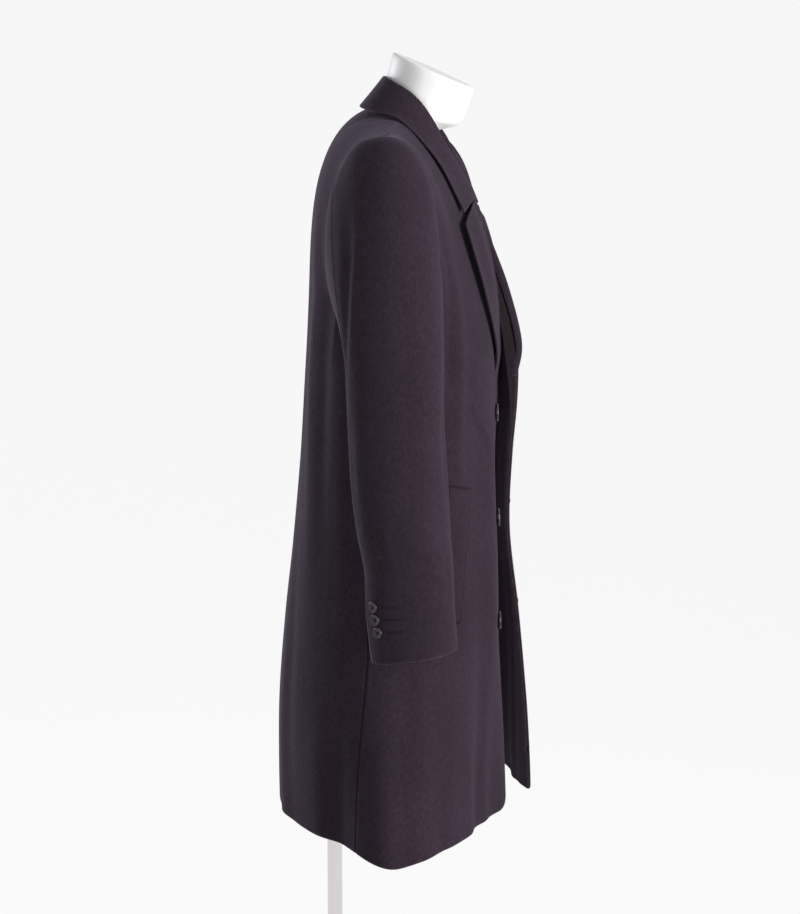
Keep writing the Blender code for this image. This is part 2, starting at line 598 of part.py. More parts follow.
def solid(name, outer, inner, material, keep=None):
    """Closed sheet between two grids of points; keep marks the cells that are cloth."""
    rows, cols = outer.shape[:2]
    number = np.arange(rows * cols).reshape(rows, cols)
    cells = np.stack([number[:-1, :-1], number[1:, :-1], number[1:, 1:], number[:-1, 1:]], axis=-1)
    cells = cells.reshape(-1, 4) if keep is None else cells[keep]
    face = np.concatenate([cells[:, [0, 1, 2]], cells[:, [0, 2, 3]]])
    edges = np.stack([face, np.roll(face, -1, axis=1)], axis=-1).reshape(-1, 2).tolist()
    known = {tuple(edge) for edge in edges}
    rim = np.array([edge for edge in edges if (edge[1], edge[0]) not in known])
    back = rows * cols
    walls = np.concatenate([np.stack([rim[:, 1], rim[:, 0], rim[:, 0] + back], axis=-1),
                            np.stack([rim[:, 1], rim[:, 0] + back, rim[:, 1] + back], axis=-1)])
    faces = np.concatenate([face, face[:, ::-1] + back, walls])
    points = np.concatenate([outer.reshape(-1, 3), inner.reshape(-1, 3)])
    return mesh_object(name, points, faces.tolist(), material)


def finish(name, colour, roughness, metallic=0.0, sheen=0.0):
    made = bpy.data.materials.new(name)
    made.use_nodes = True
    shader = made.node_tree.nodes["Principled BSDF"]
    shader.inputs["Base Color"].default_value = (*colour, 1.0)
    shader.inputs["Roughness"].default_value = roughness
    shader.inputs["Metallic"].default_value = metallic
    shader.inputs["Sheen Weight"].default_value = sheen
    return made


# ---------------------------------------------------------------- back and fronts
CORNER_ROW = round(ARM_CORNER * UPPER_CELLS)
DOWN = stretch((0, 1, UPPER_CELLS), (1, 2, SKIRT_CELLS))
BACK_SHARES = stretch((0, BACK_NECK_SHARE, NECK_CELLS), (BACK_NECK_SHARE, BACK_ARM_SHARE, SHOULDER_CELLS),
                      (BACK_ARM_SHARE, 1, UNDER_BACK_CELLS))
FRONT_SHARES = stretch((0, FRONT_ARM_SHARE, UNDER_FRONT_CELLS),
                       (FRONT_ARM_SHARE, FRONT_NECK_SHARE, SHOULDER_CELLS), (FRONT_NECK_SHARE, 1, ROLL_CELLS))


def open_armhole(grid, arm, under):
    """Run the surface on past the armhole's edge, so that normals there follow the cloth."""
    inward = 1 if under.start > arm else -1
    first = under.start if inward == 1 else under.stop - 1
    grid[CORNER_ROW - 1, under] = 2 * grid[CORNER_ROW, under] - grid[CORNER_ROW + 1, under]
    grid[:CORNER_ROW, first] = 2 * grid[:CORNER_ROW, arm] - grid[:CORNER_ROW, arm - inward]


def half_body(side):
    """Grids and normals of the back half and the front of one side, agreeing at the seams."""
    seam, arm = len(BACK_SHARES) - 1, NECK_CELLS + SHOULDER_CELLS
    back = body_point(BACK_SHARES[None, :], DOWN[:, None], "back", side)
    front = body_point(FRONT_SHARES[None, :], DOWN[:, None], "front", side)
    open_armhole(back, arm, slice(arm + 1, seam + 1))
    open_armhole(front, UNDER_FRONT_CELLS, slice(0, UNDER_FRONT_CELLS))
    whole = np.concatenate([back, front[:, 1:]], axis=1)
    normals = grid_normals(whole, side)
    back_normals, front_normals = normals[:, :seam + 1].copy(), normals[:, seam:].copy()
    back_normals[:, 0, 0] = 0.0
    front_normals[:UPPER_CELLS, -1] = front_normals[:UPPER_CELLS, -2]
    for k in range(SHOULDER_CELLS + 1):
        behind, ahead = NECK_CELLS + k, UNDER_FRONT_CELLS + SHOULDER_CELLS - k
        both = back_normals[0, behind] + front_normals[0, ahead]
        back_normals[0, behind] = front_normals[0, ahead] = both
    return back, unit(back_normals), front, unit(front_normals)


def build_body(halves, wool):
    back, normals = (np.concatenate([halves[RIGHT][k][:, :0:-1], halves[LEFT][k]], axis=1) for k in (0, 1))
    back = pull_in(back, ("top", "start", "end"))
    keep = np.ones((back.shape[0] - 1, back.shape[1] - 1), bool)
    keep[:CORNER_ROW, :UNDER_BACK_CELLS] = keep[:CORNER_ROW, -UNDER_BACK_CELLS:] = False
    solid("back", back, back - normals * WALL, wool, keep)
    for side, word in SIDES:
        front, normals = halves[side][2:]
        front = pull_in(front, ("top", "start"))
        keep = np.ones((front.shape[0] - 1, front.shape[1] - 1), bool)
        keep[:CORNER_ROW, :UNDER_FRONT_CELLS] = False
        solid("front_" + word, front, front - normals * WALL, wool, keep)


# ---------------------------------------------------------------- what lies on the fronts
def fine_panel(panel, side):
    """Points and outward normals of a panel on a fine grid, clear of the armhole."""
    first, last = (0.0, BACK_ARM_SHARE) if panel == "back" else (FRONT_ARM_SHARE, 1.0)
    shares, down = np.linspace(first, last, 61), stretch((0, 1, 50), (1, 2, 40))
    points = body_point(shares[None, :], down[:, None], panel, side)
    return points.reshape(-1, 3), grid_normals(points, side).reshape(-1, 3)


PANELS = {(panel, side): fine_panel(panel, side) for panel in ("back", "front") for side in (LEFT, RIGHT)}


def on_front(out, height, side):
    """Point and normal of a front's outer face at a distance out and a height."""
    points, normals = PANELS["front", side]
    out, height = np.broadcast_arrays(out, height)
    misses = (side * points[:, 0] - out[..., None]) ** 2 + (points[:, 2] - height[..., None]) ** 2
    nearest = misses.argmin(axis=-1)
    point, normal = points[nearest], normals[nearest]
    step_x, step_z = side * out - point[..., 0], height - point[..., 2]
    y = point[..., 1] - (normal[..., 0] * step_x + normal[..., 2] * step_z) / normal[..., 1]
    return np.stack([side * out, y, height], axis=-1), normal


def lift_clear(points, side, clearance):
    """Move points outward where they come closer to the back or front than a clearance."""
    cloud, normals = (np.concatenate([PANELS["back", side][k], PANELS["front", side][k]]) for k in (0, 1))
    flat = points.reshape(-1, 3)
    nearest = ((flat[:, None, :] - cloud[None, :, :]) ** 2).sum(axis=-1).argmin(axis=1)
    above = ((flat - cloud[nearest]) * normals[nearest]).sum(axis=-1)
    return (flat + normals[nearest] * np.maximum(clearance - above, 0)[:, None]).reshape(points.shape)


def lapel_grid(side):
    """Middle of the leaf's cloth: columns run from inside the roll, over it, to the free edge."""
    runs = np.linspace(LAPEL[0][0], LAPEL[-1][0], LAPEL_CELLS + 1)
    across = np.linspace(LEAF_START, 1.0, LAPEL_CROSS)
    width, drop = (column(LAPEL, LAPEL_COLUMNS, "run", name, runs)[:, None] for name in ("width", "drop"))
    roll = roll_point(runs, side)
    notch = NOTCH_DROP * np.clip((across - NOTCH_AT) / (1 - NOTCH_AT), 0, 1)
    notch = notch * (1 - smoothstep((runs - runs[0]) / NOTCH_FADE))[:, None]
    belly = LAPEL_BELLY * np.sin(np.pi * (runs - runs[0]) / (runs[-1] - runs[0]))[:, None] * across
    out = np.abs(roll[:, :1]) + across * width + belly
    chest_at, normal = on_front(out, roll[:, 2:] - across * drop - notch, side)
    lifted = column(LAPEL, LAPEL_COLUMNS, "run", "air_left" if side == LEFT else "air_right", runs)
    air = 0.5 * LAPEL_WALL + GAP + lifted[:, None] * across ** 1.3 + ROLL_AIR * (1 - across)
    leaf = chest_at + normal * air[..., None]
    beside, outward = on_front(np.abs(roll[:, 0]) + LIP_STEP, roll[:, 2], side)
    inward, outward = unit(beside - roll)[:, None], outward[:, None]
    fullness = (0.75 + 0.25 * smoothstep((LAPEL[-1][0] - runs) / 0.15))[:, None, None]
    turned_in = np.array([row[0] for row in ROLL_SECTION])[None, :, None]
    raised = np.array([row[1] for row in ROLL_SECTION])[None, :, None]
    raised = np.where(raised > 0, 0.5 * LAPEL_WALL + GAP + (raised - 0.5 * LAPEL_WALL) * fullness, raised)
    lip = roll[:, None] + inward * turned_in + outward * raised
    return np.concatenate([lip, leaf], axis=1)


def build_on_fronts(halves, wool, facing):
    for side, word in SIDES:
        face, normals = (grid[:-1, -FACING_CELLS - 1:] for grid in halves[side][2:])
        face = pull_in(face, ("top", "end"))
        near, far = WALL + GAP, WALL + GAP + FACING_WALL
        solid("facing_" + word, face - normals * near, face - normals * far, facing)
        leaf = lapel_grid(side)
        normals = grid_normals(leaf)
        half = normals * 0.5 * LAPEL_WALL
        solid("lapel_" + word, leaf + half, leaf - half, wool)
        solid("welt_" + word, *welt_faces(side), wool)


def welt_faces(side):
    """A slanted strip on the front: its outer and inner faces."""
    down = np.linspace(0, 1, WELT_CELLS + 1)[:, None]
    height = WELT_TOP_HEIGHT + (WELT_FOOT_HEIGHT - WELT_TOP_HEIGHT) * down
    front_edge = WELT_TOP_SHARE + (WELT_FOOT_SHARE - WELT_TOP_SHARE) * down
    share = front_edge - WELT_WIDTH_SHARE * np.linspace(1, 0, WELT_CROSS + 1)
    height = height - WELT_TILT * np.linspace(0, 1, WELT_CROSS + 1)
    face = section_point(height, total_share(height, share, "front"), side)
    normals = grid_normals(face, side)
    return face + normals * (WELT_SEAT + WELT_WALL), face + normals * WELT_SEAT


# ---------------------------------------------------------------- sleeves
def sleeve_ring(height, angle, side):
    """Point on the arm's level oval, degrees round it."""
    def read(name):
        return column(SLEEVE, SLEEVE_COLUMNS, "height", name, height)
    sine, cosine = np.sin(np.radians(angle)), np.cos(np.radians(angle))
    power = 2.0 / SLEEVE_SQUARE
    out = read("out") + read("half_width") * np.sign(cosine) * np.abs(cosine) ** power
    forward = read("forward") + read("half_depth") * np.sign(sine) * np.abs(sine) ** power
    forward = forward - LEFT_BACK * (side == LEFT)
    return place(out, forward, height + read("tilt") * sine, side)


def sleeve_point(angle, down, side):
    """Outer face of a sleeve: degrees round it, 0 outermost and 90 at the front; down 0 to 1
    over the sleeve head and 1 to 2 along the arm."""
    angle, down = np.broadcast_arrays(np.asarray(angle, float), np.asarray(down, float))
    turn = np.mod(angle / 360.0, 1.0)
    biceps, cuff = SLEEVE[0][0], SLEEVE[-1][0]
    foot = sleeve_ring(np.full_like(angle, biceps), angle, side)
    below = sleeve_ring(np.full_like(angle, biceps - 0.02), angle, side)
    go = unit(place(*(column(HEAD, HEAD_COLUMNS, "turn", name, turn)
                      for name in ("go_out", "go_forward", "go_up")), side))
    reach = column(HEAD, HEAD_COLUMNS, "turn", "reach", turn)
    seam = armhole_point(turn, side) + (go + place(1, 0, 0, side)) * ARMHOLE_SEAT
    head = fall_curve(seam, go, reach, foot, unit(foot - below), HEAD_RISE, np.clip(down, 0, 1))
    arm = sleeve_ring(biceps + (cuff - biceps) * np.clip(down - 1, 0, 1), angle, side)
    return np.where((down <= 1)[..., None], head, arm)


def back_seam_angle(down):
    """The sleeve's back seam starts on the shoulder blade side and runs to the back fold."""
    height = SLEEVE[0][0] + (SLEEVE[-1][0] - SLEEVE[0][0]) * np.clip(down - 1, 0, 1)
    low = column(SLEEVE, SLEEVE_COLUMNS, "height", "back_seam", height)
    return SLEEVE_TOP_SEAM + (low - SLEEVE_TOP_SEAM) * smoothstep(down)


def build_sleeve(side, word, wool):
    down = stretch((0, 1, HEAD_CELLS), (1, 2, ARM_CELLS))[:, None]
    rear = back_seam_angle(down)
    top = rear + (SLEEVE_FRONT_SEAM - rear) * np.linspace(0, 1, SLEEVE_TOP_CELLS + 1)
    rest = rear + 360 - SLEEVE_FRONT_SEAM
    under = SLEEVE_FRONT_SEAM + rest * np.linspace(0, 1, SLEEVE_UNDER_CELLS + 1)
    grid = sleeve_point(np.concatenate([top, under[:, 1:]], axis=1), down, side)
    loop = grid[:, :-1]
    across = np.roll(loop, -1, axis=1) - np.roll(loop, 1, axis=1)
    across = np.concatenate([across, across[:, :1]], axis=1)
    normals = -side * unit(np.cross(np.gradient(grid, axis=0), across))
    for piece, cols in (("top", np.s_[:, :SLEEVE_TOP_CELLS + 1]), ("under", np.s_[:, SLEEVE_TOP_CELLS:])):
        outer = pull_in(grid[cols], ("start", "end"))
        solid("sleeve_%s_%s" % (piece, word), outer, outer - normals[cols] * SLEEVE_WALL, wool)


# ---------------------------------------------------------------- collar
def collar_foot(run, side):
    """The neck seam: along the back neck, then down the roll line to the gorge."""
    round_front = (run - COLLAR_SHOULDER_RUN) / (1 - COLLAR_SHOULDER_RUN) * GORGE_RUN
    front = roll_point(np.clip(round_front, 0, 1), side)
    behind = neck_point(run / COLLAR_SHOULDER_RUN, side)
    return np.where((run < COLLAR_SHOULDER_RUN)[..., None], behind, front)


def collar_grid(side):
    """Middle of the collar's cloth: rows rise up the stand, over the fold and down the fall."""
    run = np.linspace(0, 1, COLLAR_CELLS + 1)

    ease = column(COLLAR, COLLAR_COLUMNS, "run", "ease_left", run) * (side == LEFT)

    def read(part):
        out, forward, height = (column(COLLAR, COLLAR_COLUMNS, "run", part + "_" + name, run)
                                for name in ("out", "forward", "height"))
        return place(out, forward + ease, height - EASE_RAISE * ease, side)
    fold, edge, seam = read("fold"), read("edge"), collar_foot(run, side)
    foot = seam + unit(fold - seam) * STAND_LIFT
    crown = unit(fold - 0.5 * (foot + edge))
    rows = []
    for cross, rounding in COLLAR_SECTION:
        if cross <= 0:
            rows.append(fold + (fold - foot) * cross + crown * rounding)
        else:
            rows.append(fold + (edge - fold) * cross + crown * rounding)
    grid = np.array(rows)
    fall = len([row for row in COLLAR_SECTION if row[0] < 0.2])
    grid[fall:] = lift_clear(grid[fall:], side, 0.5 * COLLAR_WALL + COLLAR_SEAT)
    return grid


def build_collar(wool):
    middle = np.concatenate([collar_grid(RIGHT)[:, :0:-1], collar_grid(LEFT)], axis=1)
    half = grid_normals(middle) * 0.5 * COLLAR_WALL
    solid("collar", middle + half, middle - half, wool)


# ---------------------------------------------------------------- turned and lofted solids
def loft(name, rings, material):
    """Closed solid through rings of points, foot first, with flat ends."""
    levels, sides = rings.shape[:2]
    number = np.arange(levels * sides).reshape(levels, sides)
    ahead = np.roll(number, -1, axis=1)
    faces = np.stack([number[:-1], ahead[:-1], ahead[1:], number[1:]], axis=-1).reshape(-1, 4).tolist()
    faces += [number[0, ::-1].tolist(), number[-1].tolist()]
    return mesh_object(name, rings.reshape(-1, 3), faces, material, smooth_angle=35.0)


def turned(name, profile, sides, material):
    """Solid of revolution about the vertical axis, from (radius, height) pairs, foot first."""
    angles = np.linspace(0, 2 * np.pi, sides, endpoint=False)
    rings = np.array([place(r * np.cos(angles), r * np.sin(angles), z) for r, z in profile])
    return loft(name, rings, material)


def build_form(shell_paint):
    """Rings of the torso and neck: ovals, flattened to a ridge along the shoulders."""
    angles = np.linspace(0, 2 * np.pi, FORM_SIDES, endpoint=False)
    sine, cosine = np.sin(angles), np.cos(angles)
    rings = []
    for height, forward, half_depth, half_width, square, tilt in FORM:
        across = half_width * np.sign(cosine) * np.abs(cosine) ** (2.0 / square)
        ahead = half_depth * np.sign(sine) * np.abs(sine) ** (2.0 / square)
        lean = math.radians(tilt)
        rings.append(place(across, forward + ahead * math.cos(lean), height - ahead * math.sin(lean)))
    loft("form_body", np.array(rings), shell_paint)


def build_stand(chrome):
    base = ((BASE_RADIUS, 0.0), (BASE_RADIUS, BASE_RIM),
            (BASE_RADIUS - BASE_ROUND[0], BASE_RIM + BASE_ROUND[1]), (BASE_CROWN_RADIUS, BASE_CROWN))
    turned("stand_base", base, BASE_SIDES, chrome)
    pole = ((POLE_RADIUS, BASE_CROWN + GAP), (POLE_RADIUS, FORM[0][0] - GAP))
    turned("stand_pole", pole, POLE_SIDES, chrome)


# ---------------------------------------------------------------- buttons
def button(name, size, point, normal, horn):
    """A disc with a raised rim and a dished middle, lying on the cloth."""
    radius, thick, dish = size
    profile = ((0.80 * radius, 0.0), (radius, 0.45 * thick), (0.97 * radius, 0.80 * thick),
               (0.86 * radius, thick), (0.72 * radius, thick - 0.4 * dish), (0.50 * radius, thick - dish))
    disc = turned(name, profile, BUTTON_SIDES, horn)
    facing = Vector(normal).normalized()
    disc.rotation_mode = "QUATERNION"
    disc.rotation_quaternion = facing.to_track_quat("Z", "Y")
    disc.location = Vector(point) + facing * BUTTON_SEAT


def build_buttons(horn):
    for k, height in enumerate(FRONT_BUTTON_HEIGHTS):
        point, normal = on_front(np.array(EDGE_OUT + FRONT_BUTTON_INSET), np.array(height), RIGHT)
        button("button_front_%d" % (k + 1), FRONT_BUTTON, point, normal, horn)
    biceps, cuff = SLEEVE[0][0], SLEEVE[-1][0]
    for side, word in SIDES:
        for k, rise in enumerate(CUFF_BUTTON_RISES):
            down = np.array([1 + (cuff + rise - biceps) / (cuff - biceps)])
            angle = back_seam_angle(down) + CUFF_BUTTON_TURN
            at, step = sleeve_point(angle, down, side)[0], 0.01
            round_arm = sleeve_point(angle + 2.0, down, side)[0] - sleeve_point(angle - 2.0, down, side)[0]
            down_arm = sleeve_point(angle, down + step, side)[0] - sleeve_point(angle, down - step, side)[0]
            button("button_cuff_%s_%d" % (word, k + 1), CUFF_BUTTON, at,
                   np.cross(round_arm, down_arm) * side, horn)


wool = finish("navy_wool", NAVY, 0.9, sheen=0.3)
facing_wool = finish("facing_wool", NAVY_FACING, 0.9, sheen=0.2)
horn = finish("horn", HORN, 0.35)
shell_paint = finish("form_shell", FORM_WHITE, 0.45)
chrome = finish("chrome", CHROME, 0.15, metallic=1.0)

halves = {side: half_body(side) for side in (LEFT, RIGHT)}
build_body(halves, wool)
build_on_fronts(halves, wool, facing_wool)
for side, word in SIDES:
    build_sleeve(side, word, wool)
build_collar(wool)
build_buttons(horn)
build_form(shell_paint)
build_stand(chrome)
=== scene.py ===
"""A man's wool overcoat, worn open on a limbless dress form with a pole stand.

Axes: +Z is up, the front of the coat faces -Y and its wearer's right side is -X. Sizes are
in metres. In the tables, "forward" is the distance in front of the pole (-Y), "out" is the
distance from the middle of the body to either side (|X|), and "height" is the distance
above the floor (Z).
"""

import bpy
import numpy as np
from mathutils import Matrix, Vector


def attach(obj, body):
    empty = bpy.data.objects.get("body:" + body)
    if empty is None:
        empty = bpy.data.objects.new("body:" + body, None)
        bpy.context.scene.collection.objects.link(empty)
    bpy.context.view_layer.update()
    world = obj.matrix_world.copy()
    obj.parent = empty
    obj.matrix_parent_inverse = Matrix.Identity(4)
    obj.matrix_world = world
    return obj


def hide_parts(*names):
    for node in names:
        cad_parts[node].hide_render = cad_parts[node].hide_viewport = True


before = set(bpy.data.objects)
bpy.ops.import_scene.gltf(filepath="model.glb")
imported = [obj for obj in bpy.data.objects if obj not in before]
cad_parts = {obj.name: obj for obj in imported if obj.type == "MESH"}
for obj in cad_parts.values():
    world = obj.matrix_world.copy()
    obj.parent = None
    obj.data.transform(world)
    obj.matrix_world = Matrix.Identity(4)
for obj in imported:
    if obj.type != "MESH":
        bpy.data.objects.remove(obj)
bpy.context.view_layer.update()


# ---------------------------------------------------------------- room
# A long lens at eye height, level with the wearer's right side and ten degrees round to the
# front. The floor is pale and matt and runs out of sight, in a bright even surround. One big
# soft box lights the front, a small one the upper back, and one fills in from the camera's side.
CAMERA_AT, CAMERA_AIM, CAMERA_LENS = (-2.954, -0.619, 1.460), (0.0, -0.098, 0.985), 83.7
# strength of the pale room: as it is seen and mirrored, and as it lights matt surfaces
ROOM, ROOM_LIGHT, FLOOR_LIGHT = (0.925, 0.925, 0.93), (1.0, 0.31), (0.895, 0.10)
FLOOR_HALF, FLOOR_DROP, FLOOR_PAINT = 400.0, 0.0005, (0.12, 0.12, 0.12, 1.0)
# soft boxes: where each stands, the point it faces, its width and height, the degrees over
# which it spreads, watts and colour
SOFT_BOXES = (
    ("front_box", (-1.1, -3.3, 1.45), (0.0, 0.0, 1.14), (1.8, 2.2), 85.0, 48.0, (1.0, 0.97, 0.98)),
    ("back_box", (1.3, 2.6, 1.6), (0.0, 0.0, 1.30), (0.8, 0.8), 55.0, 5.5, (0.93, 0.95, 1.0)),
    ("side_box", (-3.3, 0.3, 1.4), (0.0, 0.0, 1.15), (1.6, 1.6), 90.0, 10.0, (1.0, 1.0, 1.0)),
)


def aimed(name, data, at, aim):
    """Link an object that stands at one point and looks at another."""
    thing = bpy.data.objects.new(name, data)
    thing.location = at
    thing.rotation_euler = (Vector(aim) - Vector(at)).to_track_quat("-Z", "Y").to_euler()
    bpy.context.scene.collection.objects.link(thing)
    return thing


camera = aimed("camera", bpy.data.cameras.new("camera"), CAMERA_AT, CAMERA_AIM)
camera.data.lens = CAMERA_LENS
bpy.context.scene.camera = camera
bpy.context.scene.view_settings.view_transform = "Standard"


def room_light(tree, strengths, socket):
    """Link a strength that differs between rays that light matt surfaces and all others."""
    ray, strength = tree.nodes.new("ShaderNodeLightPath"), tree.nodes.new("ShaderNodeMapRange")
    strength.inputs["To Min"].default_value, strength.inputs["To Max"].default_value = strengths
    tree.links.new(ray.outputs["Is Diffuse Ray"], strength.inputs["Value"])
    tree.links.new(strength.outputs["Result"], socket)


for name, at, aim, size, spread, watts, colour in SOFT_BOXES:
    lamp = bpy.data.lights.new(name, "AREA")
    lamp.shape = "RECTANGLE"
    lamp.size, lamp.size_y = size
    lamp.spread = np.radians(spread)
    lamp.energy, lamp.color = watts, colour
    aimed(name, lamp, at, aim)

world = bpy.data.worlds.new("surround")
bpy.context.scene.world = world
world.use_nodes = True
surround = world.node_tree.nodes["Background"]
surround.inputs["Color"].default_value = (*ROOM, 1.0)
room_light(world.node_tree, ROOM_LIGHT, surround.inputs["Strength"])


def finish(name, **values):
    """New material, its node tree and its shader, with values set on the shader's own sockets."""
    made = bpy.data.materials.new(name)
    made.use_nodes = True
    shader = made.node_tree.nodes["Principled BSDF"]
    for key, value in values.items():
        shader.inputs[key.replace("_", " ")].default_value = value
    return made, made.node_tree, shader


floor_mesh = bpy.data.meshes.new("floor")
floor_mesh.from_pydata([(x * FLOOR_HALF, y * FLOOR_HALF, -FLOOR_DROP)
                        for x, y in ((-1, -1), (1, -1), (1, 1), (-1, 1))], [], [(0, 1, 2, 3)])
floor = bpy.data.objects.new("floor", floor_mesh)
bpy.context.scene.collection.objects.link(floor)
floor_paint, tree, shader = finish("floor_paint", Base_Color=FLOOR_PAINT, Roughness=0.9,
                                   Specular_IOR_Level=0.0, Emission_Color=(1.0, 1.0, 1.0, 1.0))
room_light(tree, FLOOR_LIGHT, shader.inputs["Emission Strength"])
floor_mesh.materials.append(floor_paint)


# ---------------------------------------------------------------- back
# One piece of felted navy wool, 2.5 mm thick with its fusing, from side seam to side seam. It
# lies over the shoulder blades, runs smooth to the waist and flares into the skirt. Its side,
# shoulder and armhole edges are sewn, its neck edge goes into the collar and its hem is free.
LEFT, RIGHT = 1.0, -1.0
SIDES = ((LEFT, "left"), (RIGHT, "right"))
WALL = 0.0025             # coat cloth with its fusing
EDGE_OUT = 0.045          # each open front edge stands this far from the middle
CORNER_RADIUS = 0.022     # rounded lower corner of each front
CORNER_RISE = 0.9 * CORNER_RADIUS
FRONT_KICK = 0.013        # how far each front edge swings forward at the hem
KICK_TOP, KICK_DROP, KICK_WIDTH = 0.82, 0.34, 0.050
AHEAD_FROM = 0.6          # what lies ahead on the half section takes that swing and the soft fold
EASE_FROM, EASE_OVER = 0.55, 0.45     # where the left front starts to hang forward, over how much
# a soft fold down the right front beside its edge: distance out, half width and lift, then
# the heights between which it comes up and dies away
FOLD_OUT, FOLD_WIDTH, FOLD_LIFT = 0.087, 0.042, 0.0095
FOLD_TOP, FOLD_RISE, FOLD_FOOT, FOLD_FALL = 1.130, 0.100, 0.540, 0.260
# half of each level section of the body, from the middle of the back to the front edge
SECTION_COLUMNS = ("height", "back", "half_width", "widest", "front",
                   "square_back", "square_front", "seam_share", "ease_left")
SECTIONS = (
    (1.240, -0.019, 0.209, 0.104, 0.232, 2.35, 2.30, 0.500, 0.004),
    (1.130, -0.027, 0.214, 0.102, 0.243, 2.35, 2.50, 0.505, 0.023),
    (1.000, -0.037, 0.212, 0.102, 0.241, 2.30, 2.50, 0.508, 0.015),
    (0.880, -0.049, 0.213, 0.104, 0.245, 2.20, 2.45, 0.516, 0.007),
    (0.760, -0.064, 0.224, 0.108, 0.247, 2.00, 2.35, 0.528, 0.018),
    (0.640, -0.075, 0.246, 0.116, 0.248, 1.85, 2.20, 0.514, 0.023),
    (0.540, -0.078, 0.262, 0.122, 0.248, 1.72, 2.10, 0.500, 0.025),
    (0.460, -0.078, 0.275, 0.127, 0.249, 1.65, 2.10, 0.490, 0.025),
)
# soft vertical drapes of the skirt: place on the half section (0 back, 1 front edge),
# half width as a share, depth at the hem (plus stands out), and the height where each starts
# columns: place, spread, depth, start
DRAPES = (
    (0.20, 0.070, 0.0050, 0.98),
    (0.45, 0.090, -0.0100, 0.80),
    (0.57, 0.050, 0.0040, 0.80),
    (0.70, 0.045, -0.0040, 0.86),
    (0.86, 0.050, -0.0060, 0.92),
)
DRAPE_CENTRE = 0.11       # drapes swell away from this place, forward of the pole
# height of the hem along the half section; it hangs lowest at the sides
HEM_COLUMNS = ("place", "height")
HEM = (
    (0.00, 0.4880),
    (0.25, 0.4880),
    (0.42, 0.4870),
    (0.49, 0.4815),
    (0.54, 0.4735),
    (0.59, 0.4695),
    (0.64, 0.4745),
    (0.69, 0.4790),
    (0.75, 0.4830),
    (0.85, 0.4850),
    (0.93, 0.4880),
    (1.00, 0.4895),
)
HEM_LEFT_DROP = 0.006     # the left front edge hangs a little lower
DROP_FROM, DROP_OVER = 0.7, 0.2     # where that starts on the half section, and over how much
SHOULDER_HOLLOW = 0.0025  # sag of the shoulder seam
# the armhole, where the sleeve is set in: turn 0 is the shoulder point, then down the
# front, 0.5 under the arm, and up the back
# columns: turn, out, forward, height
ARMHOLE = (
    (0.000, 0.2250, 0.1120, 1.4380),
    (0.060, 0.2225, 0.1415, 1.4320),
    (0.120, 0.2160, 0.1640, 1.4060),
    (0.190, 0.2070, 0.1775, 1.3620),
    (0.260, 0.2020, 0.1805, 1.3120),
    (0.330, 0.1990, 0.1890, 1.2540),
    (0.385, 0.1985, 0.1870, 1.2150),
    (0.440, 0.2010, 0.1620, 1.1950),
    (0.500, 0.2040, 0.1240, 1.1900),
    (0.570, 0.2030, 0.0830, 1.1960),
    (0.640, 0.1990, 0.0530, 1.2160),
    (0.710, 0.1955, 0.0385, 1.2560),
    (0.780, 0.1950, 0.0350, 1.3060),
    (0.850, 0.1990, 0.0420, 1.3560),
    (0.920, 0.2090, 0.0600, 1.4030),
    (0.965, 0.2185, 0.0830, 1.4300),
)
LEFT_BACK = 0.016         # the coat sits turned on the form: the left armhole and sleeve are this far back
# how the cloth leaves the neck, the shoulder seam and the roll line: share of the panel's
# width, the direction at the seam, and how far the cloth keeps it
LAY_COLUMNS = ("share", "go_out", "go_forward", "go_up", "reach")
BACK_LAY = (
    (0.00, 0.00, -0.995, 0.05, 0.147),
    (0.26, 0.00, -0.995, 0.07, 0.145),
    (0.53, 0.00, -0.995, 0.04, 0.123),
    (0.80, -0.05, -0.99, -0.05, 0.085),
)
FRONT_LAY = (
    (0.37, -0.05, 0.98, -0.08, 0.085),
    (0.55, 0.00, 0.86, -0.48, 0.100),
    (0.74, 0.12, 0.72, -0.68, 0.110),
    (0.82, 0.30, 0.34, -0.89, 0.085),
    (0.91, 0.25, 0.12, -0.96, 0.065),
    (1.00, 0.00, 0.01, -1.00, 0.040),
)
BACK_RISE, FRONT_RISE = 0.58, 0.27        # how far the chest's upright run reaches up
BACK_NECK_SHARE, BACK_ARM_SHARE = 0.26, 0.80
FRONT_ARM_SHARE, FRONT_NECK_SHARE = 0.37, 0.74
BACK_ARM_TURN, FRONT_ARM_TURN = 0.660, 0.375     # the armhole's lower corners
# how cloth leaves the underarm: its direction, how far it keeps it, and how far its foot reaches up
UNDER_GO, UNDER_REACH, UNDER_RISE = (0.12, 0.0, -1.0), 0.02, 0.3
BRIDGE, BRIDGE_DOWN = (0.58, 0.90), 0.34      # smooth cloth below the neck corner
ARM_CORNER = 0.8                          # how far down the upper grid each corner lies
UPPER_JOIN, FRONT_JOIN = 1.130, 0.985     # where the skirt begins, at the sides and the front edge
NECK_SHOULDER = (0.086, 0.1160, 1.4660)   # out, forward, height
NECK_BACK_FORWARD = 0.0560                # where the neckline crosses the middle of the back
RIDGE_RISE = 0.0200                       # the shoulder line carried on across the neck hole
